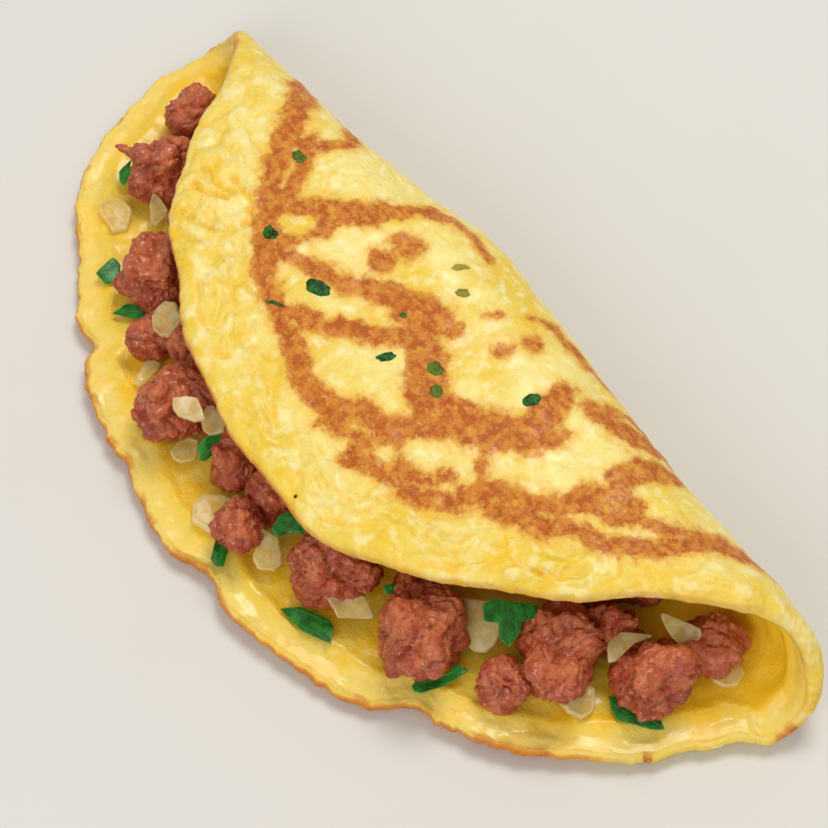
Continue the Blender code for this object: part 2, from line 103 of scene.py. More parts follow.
# Browned streaks on the upper side: x, s and half width of the points along each
STREAKS = (
    (
        (-66, 3, 2.4), (-63.5, 7, 2.8), (-60, 10.5, 2.8), (-56.5, 14, 2.6), (-51.5, 19, 2.4),
        (-48.5, 24, 2.4), (-43.5, 30, 2.3), (-38, 36, 2.2), (-33.5, 40.5, 2.2), (-28, 45, 2.2),
        (-24, 48, 1.8), (-17, 51.5, 1.6), (-10, 54, 2.1), (-4, 57, 2.4), (1.5, 56.5, 2.6),
        (5.5, 55.5, 2.6), (8.5, 52, 2.3), (11, 51, 2.3), (14.5, 50, 2.4), (16.5, 46.5, 2.4),
        (19, 42.5, 2.4),
    ),
    ((-48, 17, 1.3), (-44, 22, 1.6), (-41, 26, 1.8), (-39.5, 30, 1.9), (-37.5, 34, 1.8)),
    ((5, 59, 1.1), (10, 56.5, 1.2), (14, 54, 1.3), (17, 50, 1.4)),
    (
        (-46.8, 18.4, 0.8), (-44.5, 15.5, 1.5), (-42.5, 11.5, 1.7), (-46, 8.6, 1.3), (-50, 6, 1.2),
        (-56, 3, 1.2),
    ),
    (
        (-39, 33, 1.8), (-36, 30.5, 2.2), (-31.5, 26.5, 2.9), (-26.5, 23.5, 3.2), (-24.6, 20.5, 2.8),
        (-23, 18.8, 1.9),
    ),
    ((-30.5, 39.5, 1.2), (-28.6, 35, 1.2), (-28, 31, 1.5), (-29, 27.5, 2.0)),
    ((-21.5, 17, 1.3), (-19, 13.6, 2.1), (-15.5, 12.2, 1.6), (-11, 11.6, 0.8), (-4, 12.6, 0.7)),
    ((-15.3, 22.9, 3.0), (-14.8, 23.3, 3.0)),
    ((-15.8, 29, 2.4), (-15.3, 29.4, 2.4)),
    ((-15, 25, 1.2), (-15.4, 27.5, 1.2)),
    (
        (-30.5, 41.5, 1.5), (-28, 40.5, 1.6), (-24.5, 39, 1.8), (-19, 38, 2.0), (-14.5, 36.5, 2.2),
        (-9.5, 34, 2.5), (-5, 31.5, 2.6), (-1, 28.5, 2.4), (2, 27, 1.8),
    ),
    ((-4, 33, 2.4), (0.5, 32.6, 2.6), (6, 27.5, 1.8)),
    (
        (-22, 49.5, 1.4), (-18.5, 49.5, 1.9), (-14.5, 48, 2.2), (-11, 47, 2.2), (-8, 44, 2.1),
        (-3, 40.5, 2.0), (0.5, 36.5, 2.4),
    ),
    (
        (2, 34.5, 3.0), (8.5, 35.5, 3.9), (12, 39, 4.2), (17, 40.5, 4.0), (22.5, 36.5, 3.8),
        (28.5, 32, 3.4), (33, 28, 3.8), (31, 23, 3.4), (29, 17.5, 2.2),
    ),
    (
        (20.5, 42, 2.0), (24.5, 38.6, 2.2), (28.5, 35, 2.2), (30.5, 31, 2.4), (34, 28, 2.2),
        (37.5, 21.5, 0.9),
    ),
    ((14.8, 22.8, 1.6), (15.2, 22.2, 1.5)),
    ((16.5, 17.2, 1.7), (17, 16.8, 1.7)),
    ((15.3, 21, 0.7), (16.4, 18.5, 0.8)),
    ((7, 20, 0.4), (8.2, 18.6, 0.5)),
    ((11.5, 14, 0.4), (15, 10, 1.0), (21, 9.4, 1.6), (25, 9, 1.4), (30, 6, 1.5)),
    ((14, 54, 1.2), (14.4, 57.2, 1.9), (15, 59, 1.9)),
    ((15, 59, 1.9), (19.5, 55.6, 1.5), (23.5, 53, 1.9), (27, 49.5, 1.4), (30, 45.6, 1.5)),
    ((18, 48.6, 1.1), (20.5, 51, 1.1), (23, 52, 1.2)),
    (
        (20.5, 55, 1.2), (27, 53.5, 1.8), (31.5, 50.5, 2.0), (34.5, 47, 2.0), (36, 42.4, 2.2),
        (38.5, 38.8, 2.2), (44, 35.5, 2.1), (48.5, 30.5, 2.1), (50, 25, 2.2), (53, 21.4, 2.2),
        (57, 20.6, 1.9),
    ),
    ((29.5, 35.5, 1.6), (32, 38.5, 1.2), (35, 41, 1.6)),
    (
        (36.5, 43, 1.2), (41, 41.4, 1.7), (46, 38.5, 2.2), (50.5, 35.5, 2.2), (55, 31.4, 1.8),
        (59, 30, 1.8), (63.5, 26, 2.0), (67, 20.5, 2.1), (69, 15.5, 2.3), (72, 11.6, 2.3),
        (76.5, 8, 2.2), (80, 4, 2.0),
    ),
    ((51.5, 26, 2.4), (55, 24, 2.2), (59.5, 21.5, 1.2), (64, 18.6, 1.1), (68, 15.5, 1.4)),
    ((52.5, 21, 2.4), (50, 19.6, 2.4), (50.6, 15.6, 2.5), (53, 11.6, 2.0), (54.5, 6, 1.6)),
    ((33.6, 15.4, 1.2), (37, 14.6, 1.9), (41, 12.8, 2.6), (45.5, 10.6, 2.4), (49, 6, 2.2)),
    ((36, 13, 1.1), (39, 8, 1.3), (42.5, 5, 1.6)),
)
STREAK_END_S = 3.0  # under this s the streaks give way to a net of the sheet's own making
NET_CELL = 15.0
NET_WIDTH = 2.3
NET_BEND = 0.35
NET_SPREAD = 1.7
SCORCH_LIMIT = 12.0  # farther than this from the browning is all the same
BACK_FADE = -4.0  # under this s the net alone is left
UNDERSIDE = (-20.0, -8.0)  # the s over which the outer side turns from the underside into the back
DEEP_FOLD = (-44.0, -12.0)  # the s over which the inner side passes into the shade of the fold
INNER_START = 1.6  # the inner side's look begins this far from the rim

# Flecks of herb cooked into the upper side: x, s, length, width, turn, and how far egg veils them
FLECKS = (
    (-45.5, 21.5, 3.6, 2.4, 20, 0.1), (-34.0, 38.5, 3.8, 2.5, 25, 0.0), (-18.5, 41.5, 5.2, 3.2, -8, 0.0),
    (-3.0, 33.5, 1.6, 1.1, -30, 0.1), (2.5, 41.5, 3.9, 1.8, -65, 0.0), (-5.0, 18.5, 3.2, 1.3, -60, 0.4),
    (0.0, 21.5, 3.0, 1.8, -45, 0.3), (-21.0, 49.5, 3.8, 0.8, -25, 0.0), (10.5, 35.5, 3.4, 2.8, -20, 0.1),
    (14.5, 38.0, 2.8, 2.4, 30, 0.1), (27.0, 23.5, 3.8, 2.4, -75, 0.0), (14.5, 71.0, 0.8, 0.7, 0, 0.0),
)
# Wrinkles of a curl near the left end of the flap's edge: x and s along each
CURLS = (
    (
        (-52, 47.5), (-47, 45.8), (-43, 45.0), (-40, 43.2), (-38.6, 40.4), (-40.5, 37.3), (-44.5, 35.0),
        (-50, 33.6),
    ),
    ((-54, 40.4), (-50.5, 39.6), (-47, 38.0)),
    ((-55.5, 36.4), (-51.5, 37.2), (-47, 36.0)),
)

# Onion and parsley: the middle in the drawing's frame, how far the piece leans towards the camera and to
# its right, its thickness, and its outline as the camera sees it, across and up from the middle
ONION_PIECES = (
    ((-70.9, -73.9, 6.6), 4, 0, 2.0, (
        (-3.4, 2.0), (-2.0, 3.1), (0.8, 3.1), (3.5, 1.1), (3.6, -0.6), (2.8, -3.1), (-0.2, -3.8),
        (-1.5, -1.9), (-3.1, -0.1),
    )),
    ((-65.1, -66.9, 8.6), 42, 8, 2.2, (
        (-0.7, 4.0), (0.5, 2.4), (2.1, -0.1), (1.5, -1.5), (-0.4, -3.4), (-1.5, -2.6), (-1.7, 1.0),
        (-1.2, 3.1),
    )),
    ((-38.4, -82.8, 15.5), 16, -14, 2.6, (
        (-0.1, 3.4), (1.7, 3.1), (3.6, -0.3), (2.9, -1.3), (0.8, -4.0), (-1.3, -3.6), (-2.5, -2.6),
        (-2.7, -0.1), (-1.7, 2.0),
    )),
    ((-35.1, -89.9, 6.4), 4, 0, 1.6, (
        (0.1, 2.7), (2.1, 1.7), (1.5, 0.2), (-0.6, -1.9), (-2.4, -2.9), (-3.1, -2.2), (-2.0, 0.2),
        (-1.0, 2.0),
    )),
    ((-16.2, -92.9, 20.7), 8, 6, 1.8, (
        (-2.9, 1.9), (-0.2, 2.1), (1.9, 1.8), (3.1, -0.8), (3.5, -2.4), (1.5, -2.6), (-1.7, -1.5),
        (-2.8, -0.1),
    )),
    ((-13.7, -89.2, 16.0), 22, -10, 2.2, (
        (-1.0, 2.7), (0.6, 2.5), (2.8, -0.8), (2.6, -2.6), (-0.2, -3.5), (-1.7, -2.2), (-2.0, -0.1),
        (-1.3, 1.7),
    )),
    ((-15.7, -95.1, 7.6), 16, 0, 2.2, (
        (1.0, 2.4), (2.8, 1.7), (2.6, -1.2), (1.9, -2.2), (-0.6, -2.8), (-2.2, -1.9), (-2.7, -0.5),
        (-1.3, 1.3),
    )),
    ((-1.3, -98.7, 7.0), 4, 4, 2.6, (
        (-1.7, 3.4), (1.9, 3.1), (5.1, 1.3), (4.4, -0.8), (2.9, -3.6), (-0.2, -4.0), (-2.0, -2.9),
        (-3.8, -1.9), (-3.8, 1.3),
    )),
    ((13.0, -95.9, 9.4), 26, 6, 2.8, (
        (-1.0, 4.4), (2.2, 2.4), (2.8, -0.5), (2.9, -2.9), (1.5, -4.1), (-1.7, -3.6), (-2.7, -1.5),
        (-2.0, 1.0), (-1.7, 3.4),
    )),
    ((32.7, -90.6, 11.4), 34, 0, 2.6, (
        (-4.5, 1.0), (-3.1, 2.0), (2.2, 2.0), (3.3, 0.6), (4.8, -2.7), (3.3, -2.9), (-2.4, -2.6),
        (-3.3, -0.8),
    )),
    ((50.2, -74.6, 12.4), 26, -12, 3.0, (
        (-5.2, 4.6), (-1.5, 4.4), (3.5, 3.8), (5.2, 0.5), (5.0, -2.0), (3.8, -4.6), (2.2, -5.9),
        (0.4, -6.0), (-1.9, -4.2), (-3.2, -1.0), (-4.6, 2.2),
    )),
    ((73.0, -67.8, 7.2), 10, 6, 2.6, (
        (-3.8, -0.1), (-3.6, 1.0), (-0.6, 2.5), (1.9, 2.7), (3.1, 2.2), (3.3, -0.5), (2.6, -2.2),
        (0.8, -3.3), (-2.0, -2.2),
    )),
    ((72.3, -56.3, 14.4), 18, 0, 1.6, (
        (-3.1, 1.7), (-2.4, 2.5), (-0.2, 2.8), (5.1, 2.2), (4.7, 1.5), (2.2, 1.0), (0.8, -0.1),
        (-1.7, -2.6), (-3.3, -2.9), (-3.5, -0.8),
    )),
    ((77.0, -47.0, 17.0), 24, -10, 2.0, (
        (-3.8, 3.3), (-2.9, 3.4), (3.6, 0.6), (3.8, -0.5), (2.9, -2.6), (1.9, -3.3), (-0.2, -2.6),
        (-2.0, -0.8), (-3.4, 1.7),
    )),
    ((85.4, -42.7, 8.6), 14, 0, 2.6, (
        (-3.3, -0.5), (-2.0, 1.7), (0.8, 2.7), (2.9, 1.3), (3.8, -0.5), (2.6, -2.6), (0.1, -3.1),
        (-2.0, -2.2),
    )),
)
# For parsley the last number is the direction of its veins in the picture
LEAVES = (
    ((-77.2, -66.8, 8.4), 22, -24, 70, (
        (1.4, 2.6), (-0.6, 1.0), (-1.3, 0.1), (-1.2, -1.8), (-0.5, -2.9), (0.9, -2.2), (1.6, -0.9),
        (1.4, 0.5), (0.9, 1.6),
    )),
    ((-60.2, -83.1, 6.8), 8, 6, -62, (
        (1.1, 2.8), (2.7, 1.2), (2.6, -0.9), (1.5, -2.5), (-0.3, -2.9), (-1.0, -2.0), (-2.3, -0.6),
        (-0.8, 1.0),
    )),
    ((-49.0, -85.3, 7.2), 6, -10, -6, (
        (-3.6, -0.5), (-0.5, 1.6), (1.1, 1.4), (3.8, 0.1), (2.9, -1.2), (1.4, -1.6),
    )),
    ((-9.8, -92.6, 14.6), 26, 14, 42, (
        (2.8, 2.6), (-0.6, 1.8), (-2.6, -0.5), (-2.0, -1.2), (-2.0, -2.9), (-0.8, -3.0), (0.5, -1.8),
        (2.6, -1.4),
    )),
    ((6.2, -102.4, 6.9), 4, 10, 84, (
        (0.0, 3.4), (-0.5, 2.5), (-1.0, 0.8), (-1.5, -1.8), (-0.6, -3.2), (0.9, -3.2), (1.5, -1.2),
        (1.9, 0.1), (0.9, 0.8), (0.6, 2.9),
    )),
    ((14.0, -90.5, 15.6), 20, 0, -18, (
        (-2.3, 1.4), (-0.8, 2.2), (2.4, 1.6), (5.7, -0.6), (4.1, -2.2), (2.7, -2.7), (2.2, -1.8),
        (-0.8, -1.8), (-2.7, -2.6), (-3.8, -1.1),
    )),
    ((28.6, -98.3, 6.6), 0, -5, -24, (
        (-5.0, 2.3), (-0.8, 2.8), (4.8, 0.3), (5.4, -1.1), (5.0, -4.0), (-0.5, -1.8),
    )),
    ((37.5, -83.5, 16.8), 10, 0, 4, (
        (-2.0, 0.5), (-0.5, 0.8), (2.4, 0.6), (2.7, 0.1), (0.7, -0.7), (-1.6, -1.2), (-2.3, -0.3),
    )),
    ((53.8, -85.4, 7.2), 0, -8, 22, (
        (-5.4, -1.4), (-4.2, 0.1), (-1.2, 2.0), (1.8, 2.8), (5.6, 1.7), (4.1, 0.6), (0.9, -1.2),
        (-3.6, -2.7), (-5.1, -2.4),
    )),
    ((55.8, -70.7, 17.2), 18, 0, -88, (
        (-5.1, 2.9), (-3.1, 3.9), (0.7, 3.3), (5.1, 2.7), (5.1, 0.3), (3.7, -0.1), (2.3, -0.3),
        (2.0, -2.2), (-0.3, -5.2), (-2.0, -3.3), (-2.1, -0.7), (-3.1, -0.5), (-4.8, -0.3),
    )),
    ((81.2, -60.7, 7.0), 0, -5, -30, (
        (-4.8, 2.7), (-0.5, 2.1), (2.6, 2.1), (4.1, 0.3), (5.4, -3.1), (2.6, -3.1), (-3.5, -1.4),
        (-4.4, 0.5),
    )),
)
# Loose shreds of sausage, laid out as the onion is
SHREDS = (
    ((-78.8, -65.0, 12.4), 20, 0, 0.9, (
        (2.4, -1.5), (0.8, 0.2), (-0.9, 1.1), (-2.5, 1.3), (-2.2, 0.8), (-0.7, 0.2), (0.3, -0.9),
        (1.4, -2.2),
    )),
    ((-58.4, -66.9, 9.4), 10, 14, 4.6, (
        (0.9, 4.6), (1.6, 2.2), (1.5, -1.8), (1.0, -4.6), (-0.6, -4.4), (-1.3, -2.2), (-0.9, 1.2),
        (-0.2, 3.6),
    )),
    ((62.6, -73.6, 10.6), 30, 0, 3.6, (
        (-4.2, -0.4), (-2.0, 1.8), (1.2, 1.6), (3.4, 2.2), (4.0, 0.2), (1.6, -1.4), (-1.0, -2.4),
        (-3.2, -2.2),
    )),
    ((-32.4, -78.6, 9.6), 20, 8, 4.0, (
        (-1.2, 3.0), (1.0, 3.4), (1.8, 0.6), (1.4, -2.4), (-0.4, -3.2), (-1.6, -0.8),
    )),
)
SLAB_BEND = 0.3
SAUSAGES = 16
SAUSAGE_FINENESS = 2  # times that a crumble's plain form is rounded before its skin is made
EGG_LAYERS = ("scorch", "from_rim", "inner", "under", "dip", "fold_shade", "bare")

# Where the photograph was taken from
PICTURE_MIDDLE = (1.8, -51.7)
CAMERA_AZIMUTH, CAMERA_ELEVATION = 52.5, 59.5
CAMERA_DISTANCE = 560.0
LENS, SENSOR = 121.25, 36.0

# The stage: where the lights stand and how large they are, in metres, and the colours of light
KEY_PLACE, KEY_SIZE = (-0.16, 0.34, 0.95), 0.4
FILL_PLACE, FILL_SIZE = (0.42, -0.8, 0.6), 0.8
KEY_COLOUR = (1.0, 0.97, 0.92)
SOFT_COLOUR = (1.0, 0.98, 0.95)
FLOOR_SIZE = 3.0
FLOOR_Z = -0.0003
FLOOR_SHADE = 0.94


def srgb(red, green, blue):
    """A colour on the usual 0 to 255 scale as the linear values that materials use."""
    return tuple(((v / 255 + 0.055) / 1.055) ** 2.4 if v > 10 else v / 3294.6 for v in (red, green, blue))


def ease(start, end, value):
    """0 before start, 1 after end, and smooth between them."""
    share = min(1.0, max(0.0, (value - start) / (end - start)))
    return share * share * (3 - 2 * share)


# The egg sheet's form, as in the part's own source


def bend_radius(x):
    return BEND_RADIUS - BEND_LEFT_LOSS * ease(30, 95, -x) + BEND_RIGHT_GAIN * ease(40, 95, x)


def back_line(x):
    half_width = BULGE_LEFT if x < BULGE_X else BULGE_RIGHT
    bulge = BACK_BULGE * math.exp(-(((x - BULGE_X) / half_width) ** 2))
    return BACK_Y + bulge - BACK_END_TURN * ease(88, 106, x)


def rim_reach(degrees):
    step = 360.0 / len(RIM_REACH)
    place = (degrees + 180.0) % 360.0 / step
    first = int(place)
    t = place - first
    a, b, c, d = (RIM_REACH[(first + k) % len(RIM_REACH)] for k in (-1, 0, 1, 2))
    reach = b + 0.5 * t * (c - a + t * (2 * a - 5 * b + 4 * c - d + t * (3 * (b - c) + d - a)))
    turn = math.radians(degrees)
    reach += RIM_WAVE * sum(share * math.sin(count * turn + start) for count, start, share in RIM_WAVES)
    for angle, depth, half_width in EDGE_NICKS:
        reach -= depth * math.exp(-(((degrees - angle) / half_width) ** 2))
    return reach


def fold(x, s):
    """Middle of the folded sheet at x along the fold and s from the middle of the bend."""
    radius = bend_radius(x)
    centre_y = back_line(x) - radius
    quarter = math.pi * radius / 2
    turn = min(1.0, max(-1.0, s / quarter)) * math.pi / 2
    y = centre_y + radius * math.cos(turn)
    z = SHEET_THICK / 2 + radius * (1 + math.sin(turn))
    if s < -quarter:
        y += s + quarter
    if s > quarter:
        run = s - quarter
        y -= run
        edge = FLAP_EDGE_HEIGHT - FLAP_EDGE_LEFT_LOSS * ease(20, 80, -x)
        z += (edge - z) * min(1.4, run / FLAP_REACH) ** FLAP_DROOP
        swell = noise.noise(Vector((x / SWELL_LENGTH, run / SWELL_WIDTH, 4.0)))
        z += FLAP_SWELL * swell * ease(0, SWELL_START, run)
    return Vector((x, y, z))


def fold_normal(x, s):
    step = 0.5
    along_x = fold(x + step, s) - fold(x - step, s)
    along_s = fold(x, s + step) - fold(x, s - step)
    return along_s.cross(along_x).normalized()


def half_thickness(from_rim):
    share = min(1.0, max(0.0, from_rim / RIM_ROUND))
    return SHEET_THICK / 2 * math.sqrt(1 - (1 - share) ** 2)


def toward_rim(w):
    return w * (1 + CELL_CROWDING * (1 - w * w))


def disc_point(a, b, fray):
    """Square coordinates taken to the disc: (x, s), the distance from its rim and the angle."""
    u = a * math.sqrt(1 - b * b / 2)
    v = b * math.sqrt(1 - a * a / 2)
    angle = math.degrees(math.atan2(v, u))
    reach = rim_reach(angle) + fray * rim_fray(angle)
    out = min(1.0, math.hypot(u, v))
    x = reach * out * math.cos(math.radians(angle))
    s = DISC_MIDDLE + reach * out * math.sin(math.radians(angle))
    return x, s, reach * (1 - out), angle


def lift_of_rim(angle, from_rim):
    wave = 0.5 + 0.5 * math.sin(math.radians(angle) * LIFT_WAVES + 1.0)
    return RIM_LIFT * wave * (1 - ease(0, LIFT_WIDTH, from_rim))


def drawing_shift():
    """From the drawing's frame to the part's: the middle of the plain sheet's box goes over the origin."""
    lines = [toward_rim(-1 + 2 * k / CAD_CELLS) for k in range(CAD_CELLS + 1)]
    xs, ys = [], []
    for a in lines:
        for b in lines:
            x, s, from_rim, _ = disc_point(a, b, 0.0)
            middle, normal = fold(x, s), fold_normal(x, s)
            for side in (1, -1):
                place = middle + normal * (side * half_thickness(from_rim))
                xs.append(place.x)
                ys.append(place.y)
    low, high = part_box("egg_sheet")
    middle_x, middle_y = (low[0] + high[0]) / 2 / MM, (low[1] + high[1]) / 2 / MM
    return Vector((middle_x - (min(xs) + max(xs)) / 2, middle_y - (min(ys) + max(ys)) / 2, 0.0))


# The finer shape of the cooked egg


def rim_fray(angle):
    """Small raggedness of the rim, in and out."""
    turn = math.radians(angle) * 85
    coarse = noise.noise(Vector((turn / 5.5, 3.0, 0.0)))
    middling = noise.noise(Vector((turn / 2.3, 9.0, 0.0)))
    fine = noise.noise(Vector((turn / 1.2, 15.0, 0.0)))
    calm = 1 - 0.55 * ease(-0.1, 0.25, math.sin(math.radians(angle)))
    return calm * (0.8 * coarse + 0.55 * middling + 0.3 * fine)


def upper_relief(x, s, from_rim, angle, egg):
    """Height of the soft lumps and curds, and how much of a crease runs here."""
    lump, crease = egg.lump_height / MM, egg.crease_height / MM
    height = 1.2 * lump * noise.noise(Vector((x / 22, s / 20, 1.0)))
    height += lump * noise.noise(Vector((x / 8.5, s / 8.5, 7.0)))
    height += 0.6 * lump * noise.noise(Vector((x / 3.6, s / 3.6, 3.0)))
    height += 0.3 * lump * noise.noise(Vector((x / 1.7, s / 1.7, 13.0)))
    band = (1 - ease(13, 26, from_rim)) * ease(8, 22, s)
    along = math.radians(angle) * 80
    bent = from_rim + 4.0 * noise.noise(Vector((along / 12, from_rim / 8, 2.0)))
    wander = along + 3.0 * noise.noise(Vector((along / 6, bent / 6, 8.0)))
    ridge = abs(noise.noise(Vector((wander / 10 + bent / 7, bent / 4.4, 5.0))))
    dip = band * (1 - min(1.0, ridge / 0.2)) ** 2
    crumple = crease * band * ease(20, 38, s)
    height += 2.6 * crumple * noise.noise(Vector((wander / 5.5, bent / 3.2, 11.0)))
    height += 1.3 * crumple * noise.noise(Vector((wander / 2.6, bent / 1.9, 17.0)))
    for line in CURLS:
        for start, end in zip(line[:-1], line[1:]):
            dip = max(dip, 2.4 * groove((x, s), start, end, 1.6))
    return (height - crease * dip) * ease(0.2, 3.0, from_rim), dip


def groove(place, start, end, width):
    """1 on the line from start to end, falling to 0 at this width from it."""
    px, ps = place[0] - start[0], place[1] - start[1]
    dx, ds = end[0] - start[0], end[1] - start[1]
    share = min(1.0, max(0.0, (px * dx + ps * ds) / (dx * dx + ds * ds)))
    away = math.hypot(px - share * dx, ps - share * ds)
    return max(0.0, 1 - away / width) ** 2


def lower_relief(x, s, from_rim, angle, egg):
    """Soft wet lumps, with a low step along the rim where the sheet ran thin."""
    lump = egg.lump_height / MM
    height = 1.5 * lump * noise.noise(Vector((x / 9.5, s / 9.5, 21.0)))
    height += 0.8 * lump * noise.noise(Vector((x / 4.2, s / 4.2, 25.0)))
    height += 0.25 * lump * noise.noise(Vector((x / 2.0, s / 2.0, 29.0)))
    along = math.radians(angle) * 85
    line = 6.6 + 1.8 * noise.noise(Vector((along / 14, 1.0, 40.0)))
    height += 0.8 * lump * math.exp(-(((from_rim - line) / 1.5) ** 2))
    height -= 1.3 * lump * (1 - ease(line - 3.0, line, from_rim))
    return height * ease(0.1, 2.5, from_rim)


def under_relief(x, s, egg):
    """The side that lay in the pan: only shallow dents, so that it still lies flat."""
    lump = egg.lump_height / MM
    return -0.35 * lump * (0.5 + 0.5 * noise.noise(Vector((x / 5.0, s / 5.0, 33.0))))


def sheet_surface(x, s, from_rim, angle, side, egg):
    """A point on the outer (side 1) or inner (side -1) face of the cooked egg."""
    quarter = math.pi * bend_radius(x) / 2
    if side < 0:
        relief, dip = lower_relief(x, s, from_rim, angle, egg), 0.0
    else:
        upper = ease(-quarter, 4.0 - quarter, s)
        relief, dip = upper_relief(x, s, from_rim, angle, egg)
        relief = upper * relief + (1 - upper) * under_relief(x, s, egg)
    place = fold(x, s) + fold_normal(x, s) * (side * (half_thickness(from_rim) + relief))
    if s < -quarter:
        place.z += lift_of_rim(angle, from_rim)
    return place, dip


def scorch_distance(places):
    """How far, in millimetres, each (x, s) lies outside the browned parts; less than 0 inside them."""
    away = np.full(len(places), SCORCH_LIMIT)
    for streak in STREAKS:
        for start, end in zip(streak[:-1], streak[1:]):
            first, last = np.array(start), np.array(end)
            run = last[:2] - first[:2]
            share = np.clip((places - first[:2]) @ run / (run @ run), 0, 1)
            nearest = first[:2] + share[:, None] * run
            width = first[2] + share * (last[2] - first[2])
            away = np.minimum(away, np.linalg.norm(places - nearest, axis=1) - width)
    return away


def bare_edge(x, s):
    """How far the rim is without browning: at the ends of the fold, and less so along the flap's right."""
    right_end = ease(74, 88, x) * ease(-62, -42, s)
    left_end = 0.6 * ease(78, 90, -x) * ease(-40, -24, s)
    return max(right_end, left_end, 0.75 * ease(0, 40, x) * ease(0, 20, s))


def net_distance(x, s):
    """The same for the net of browning on the back and under the omelette, which no picture shows."""
    bent = Vector((x / NET_CELL, s / NET_CELL, 50.0))
    along_x = noise.noise(bent * 2.1)
    along_s = noise.noise(bent * 2.1 + Vector((9, 0, 0)))
    bent += NET_BEND * Vector((along_x, along_s, 0))
    return min(SCORCH_LIMIT, abs(noise.noise(bent)) * NET_CELL * NET_SPREAD - NET_WIDTH)


# Mesh helpers


def new_piece(name, form, material, body="root"):
    """Turns a bmesh in metres into a shaded object that rides on the omelette's one body."""
    mesh = bpy.data.meshes.new(name)
    form.to_mesh(mesh)
    form.free()
    mesh.shade_smooth()
    mesh.materials.append(material)
    piece = bpy.data.objects.new(name, mesh)
    bpy.context.scene.collection.objects.link(piece)
    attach(piece, body)
    return piece


def to_part(form, shift):
    """From millimetres in the drawing's frame to metres in the part's."""
    bmesh.ops.translate(form, vec=shift, verts=form.verts)
    bmesh.ops.scale(form, vec=(MM, MM, MM), verts=form.verts)


def merged_node(node):
    """A copy of a CAD node's mesh with its loose triangles joined."""
    form = bmesh.new()
    form.from_mesh(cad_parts[node].data)
    bmesh.ops.remove_doubles(form, verts=form.verts, dist=1e-6)
    return form


def gathered(forms):
    """One bmesh that holds all of these."""
    whole = bmesh.new()
    for form in forms:
        mesh = bpy.data.meshes.new("part of a heap")
        form.to_mesh(mesh)
        form.free()
        whole.from_mesh(mesh)
        bpy.data.meshes.remove(mesh)
    return whole


def remeshed(form, voxel):
    """The same solid with an even skin of small faces, as a bmesh."""
    mesh = bpy.data.meshes.new("remesh")
    form.to_mesh(mesh)
    form.free()
    carrier = bpy.data.objects.new("remesh", mesh)
    bpy.context.scene.collection.objects.link(carrier)
    rounded = carrier.modifiers.new("rounded", "SUBSURF")
    rounded.levels = rounded.render_levels = SAUSAGE_FINENESS
    skin = carrier.modifiers.new("skin", "REMESH")
    skin.mode = "VOXEL"
    skin.voxel_size = voxel
    even = bpy.data.meshes.new_from_object(carrier.evaluated_get(bpy.context.evaluated_depsgraph_get()))
    bpy.data.objects.remove(carrier)
    bpy.data.meshes.remove(mesh)
    fine = bmesh.new()
    fine.from_mesh(even)
    bpy.data.meshes.remove(even)
    return fine


# Shader maths


class Shade:
    """One socket's value. Python's operators on it add Math nodes."""

    def __init__(self, board, socket):
        self.board = board
        self.socket = socket

    def join(self, operation, first, second):
        return self.board.add("ShaderNodeMath", {"operation": operation}, {0: first, 1: second})

    def __add__(self, other):
        return self.join("ADD", self, other)

    __radd__ = __add__

    def __sub__(self, other):
        return self.join("SUBTRACT", self, other)

    def __rsub__(self, other):
        return self.join("SUBTRACT", other, self)

    def __mul__(self, other):
        return self.join("MULTIPLY", self, other)

    __rmul__ = __mul__

    def __abs__(self):
        return self.join("ABSOLUTE", self, 0.0)

    def at_most(self, other):
        return self.join("MINIMUM", self, other)

    def at_least(self, other):
        return self.join("MAXIMUM", self, other)


class Board:
    """A material's node tree, with short ways to add what the food materials need."""

    def __init__(self, name, **constants):
        self.material = bpy.data.materials.new(name)
        self.material.use_nodes = True
        self.tree = self.material.node_tree
        self.shader = self.tree.nodes["Principled BSDF"]
        for socket, value in constants.items():
            self.shader.inputs[socket.replace("_", " ")].default_value = value
        place = self.add("ShaderNodeTexCoord", {}, {}, "Object")
        values = {0: place, "Scale": 1 / MM}
        self.place = self.add("ShaderNodeVectorMath", {"operation": "SCALE"}, values, "Vector")

    def add(self, kind, settings, inputs, output=0):
        node = self.tree.nodes.new(kind)
        for setting, value in settings.items():
            setattr(node, setting, value)
        for key, value in inputs.items():
            if isinstance(value, Shade):
                self.tree.links.new(value.socket, node.inputs[key])
            else:
                node.inputs[key].default_value = value
        return Shade(self, node.outputs[output])

    def noise(self, size, detail=2.0, roughness=0.5, distortion=0.0):
        """Noise from 0 to 1 whose features are about this many millimetres across."""
        values = {"Vector": self.place, "Scale": 1 / size, "Detail": detail}
        values.update({"Roughness": roughness, "Distortion": distortion})
        return self.add("ShaderNodeTexNoise", {}, values)

    def attribute(self, name):
        return self.add("ShaderNodeAttribute", {"attribute_name": name}, {}, "Fac")

    def between(self, value, start, end):
        """0 at start and 1 at end, smooth between them. Start may be the larger."""
        limits = {"Value": value, "From Min": start, "From Max": end}
        return self.add("ShaderNodeMapRange", {"interpolation_type": "SMOOTHSTEP"}, limits)

    def blend(self, share, first, second):
        """The first colour where share is 0 and the second where it is 1."""
        ends = [c if isinstance(c, Shade) else (*c[:3], 1.0) for c in (first, second)]
        return self.add("ShaderNodeMix", {"data_type": "RGBA"}, {0: share, 6: ends[0], 7: ends[1]}, 2)

    def bump(self, height, strength=1.0):
        """Height in millimetres."""
        values = {"Height": height, "Distance": MM, "Strength": strength}
        return self.add("ShaderNodeBump", {}, values, "Normal")

    def feed(self, socket, value):
        self.tree.links.new(value.socket, self.shader.inputs[socket])


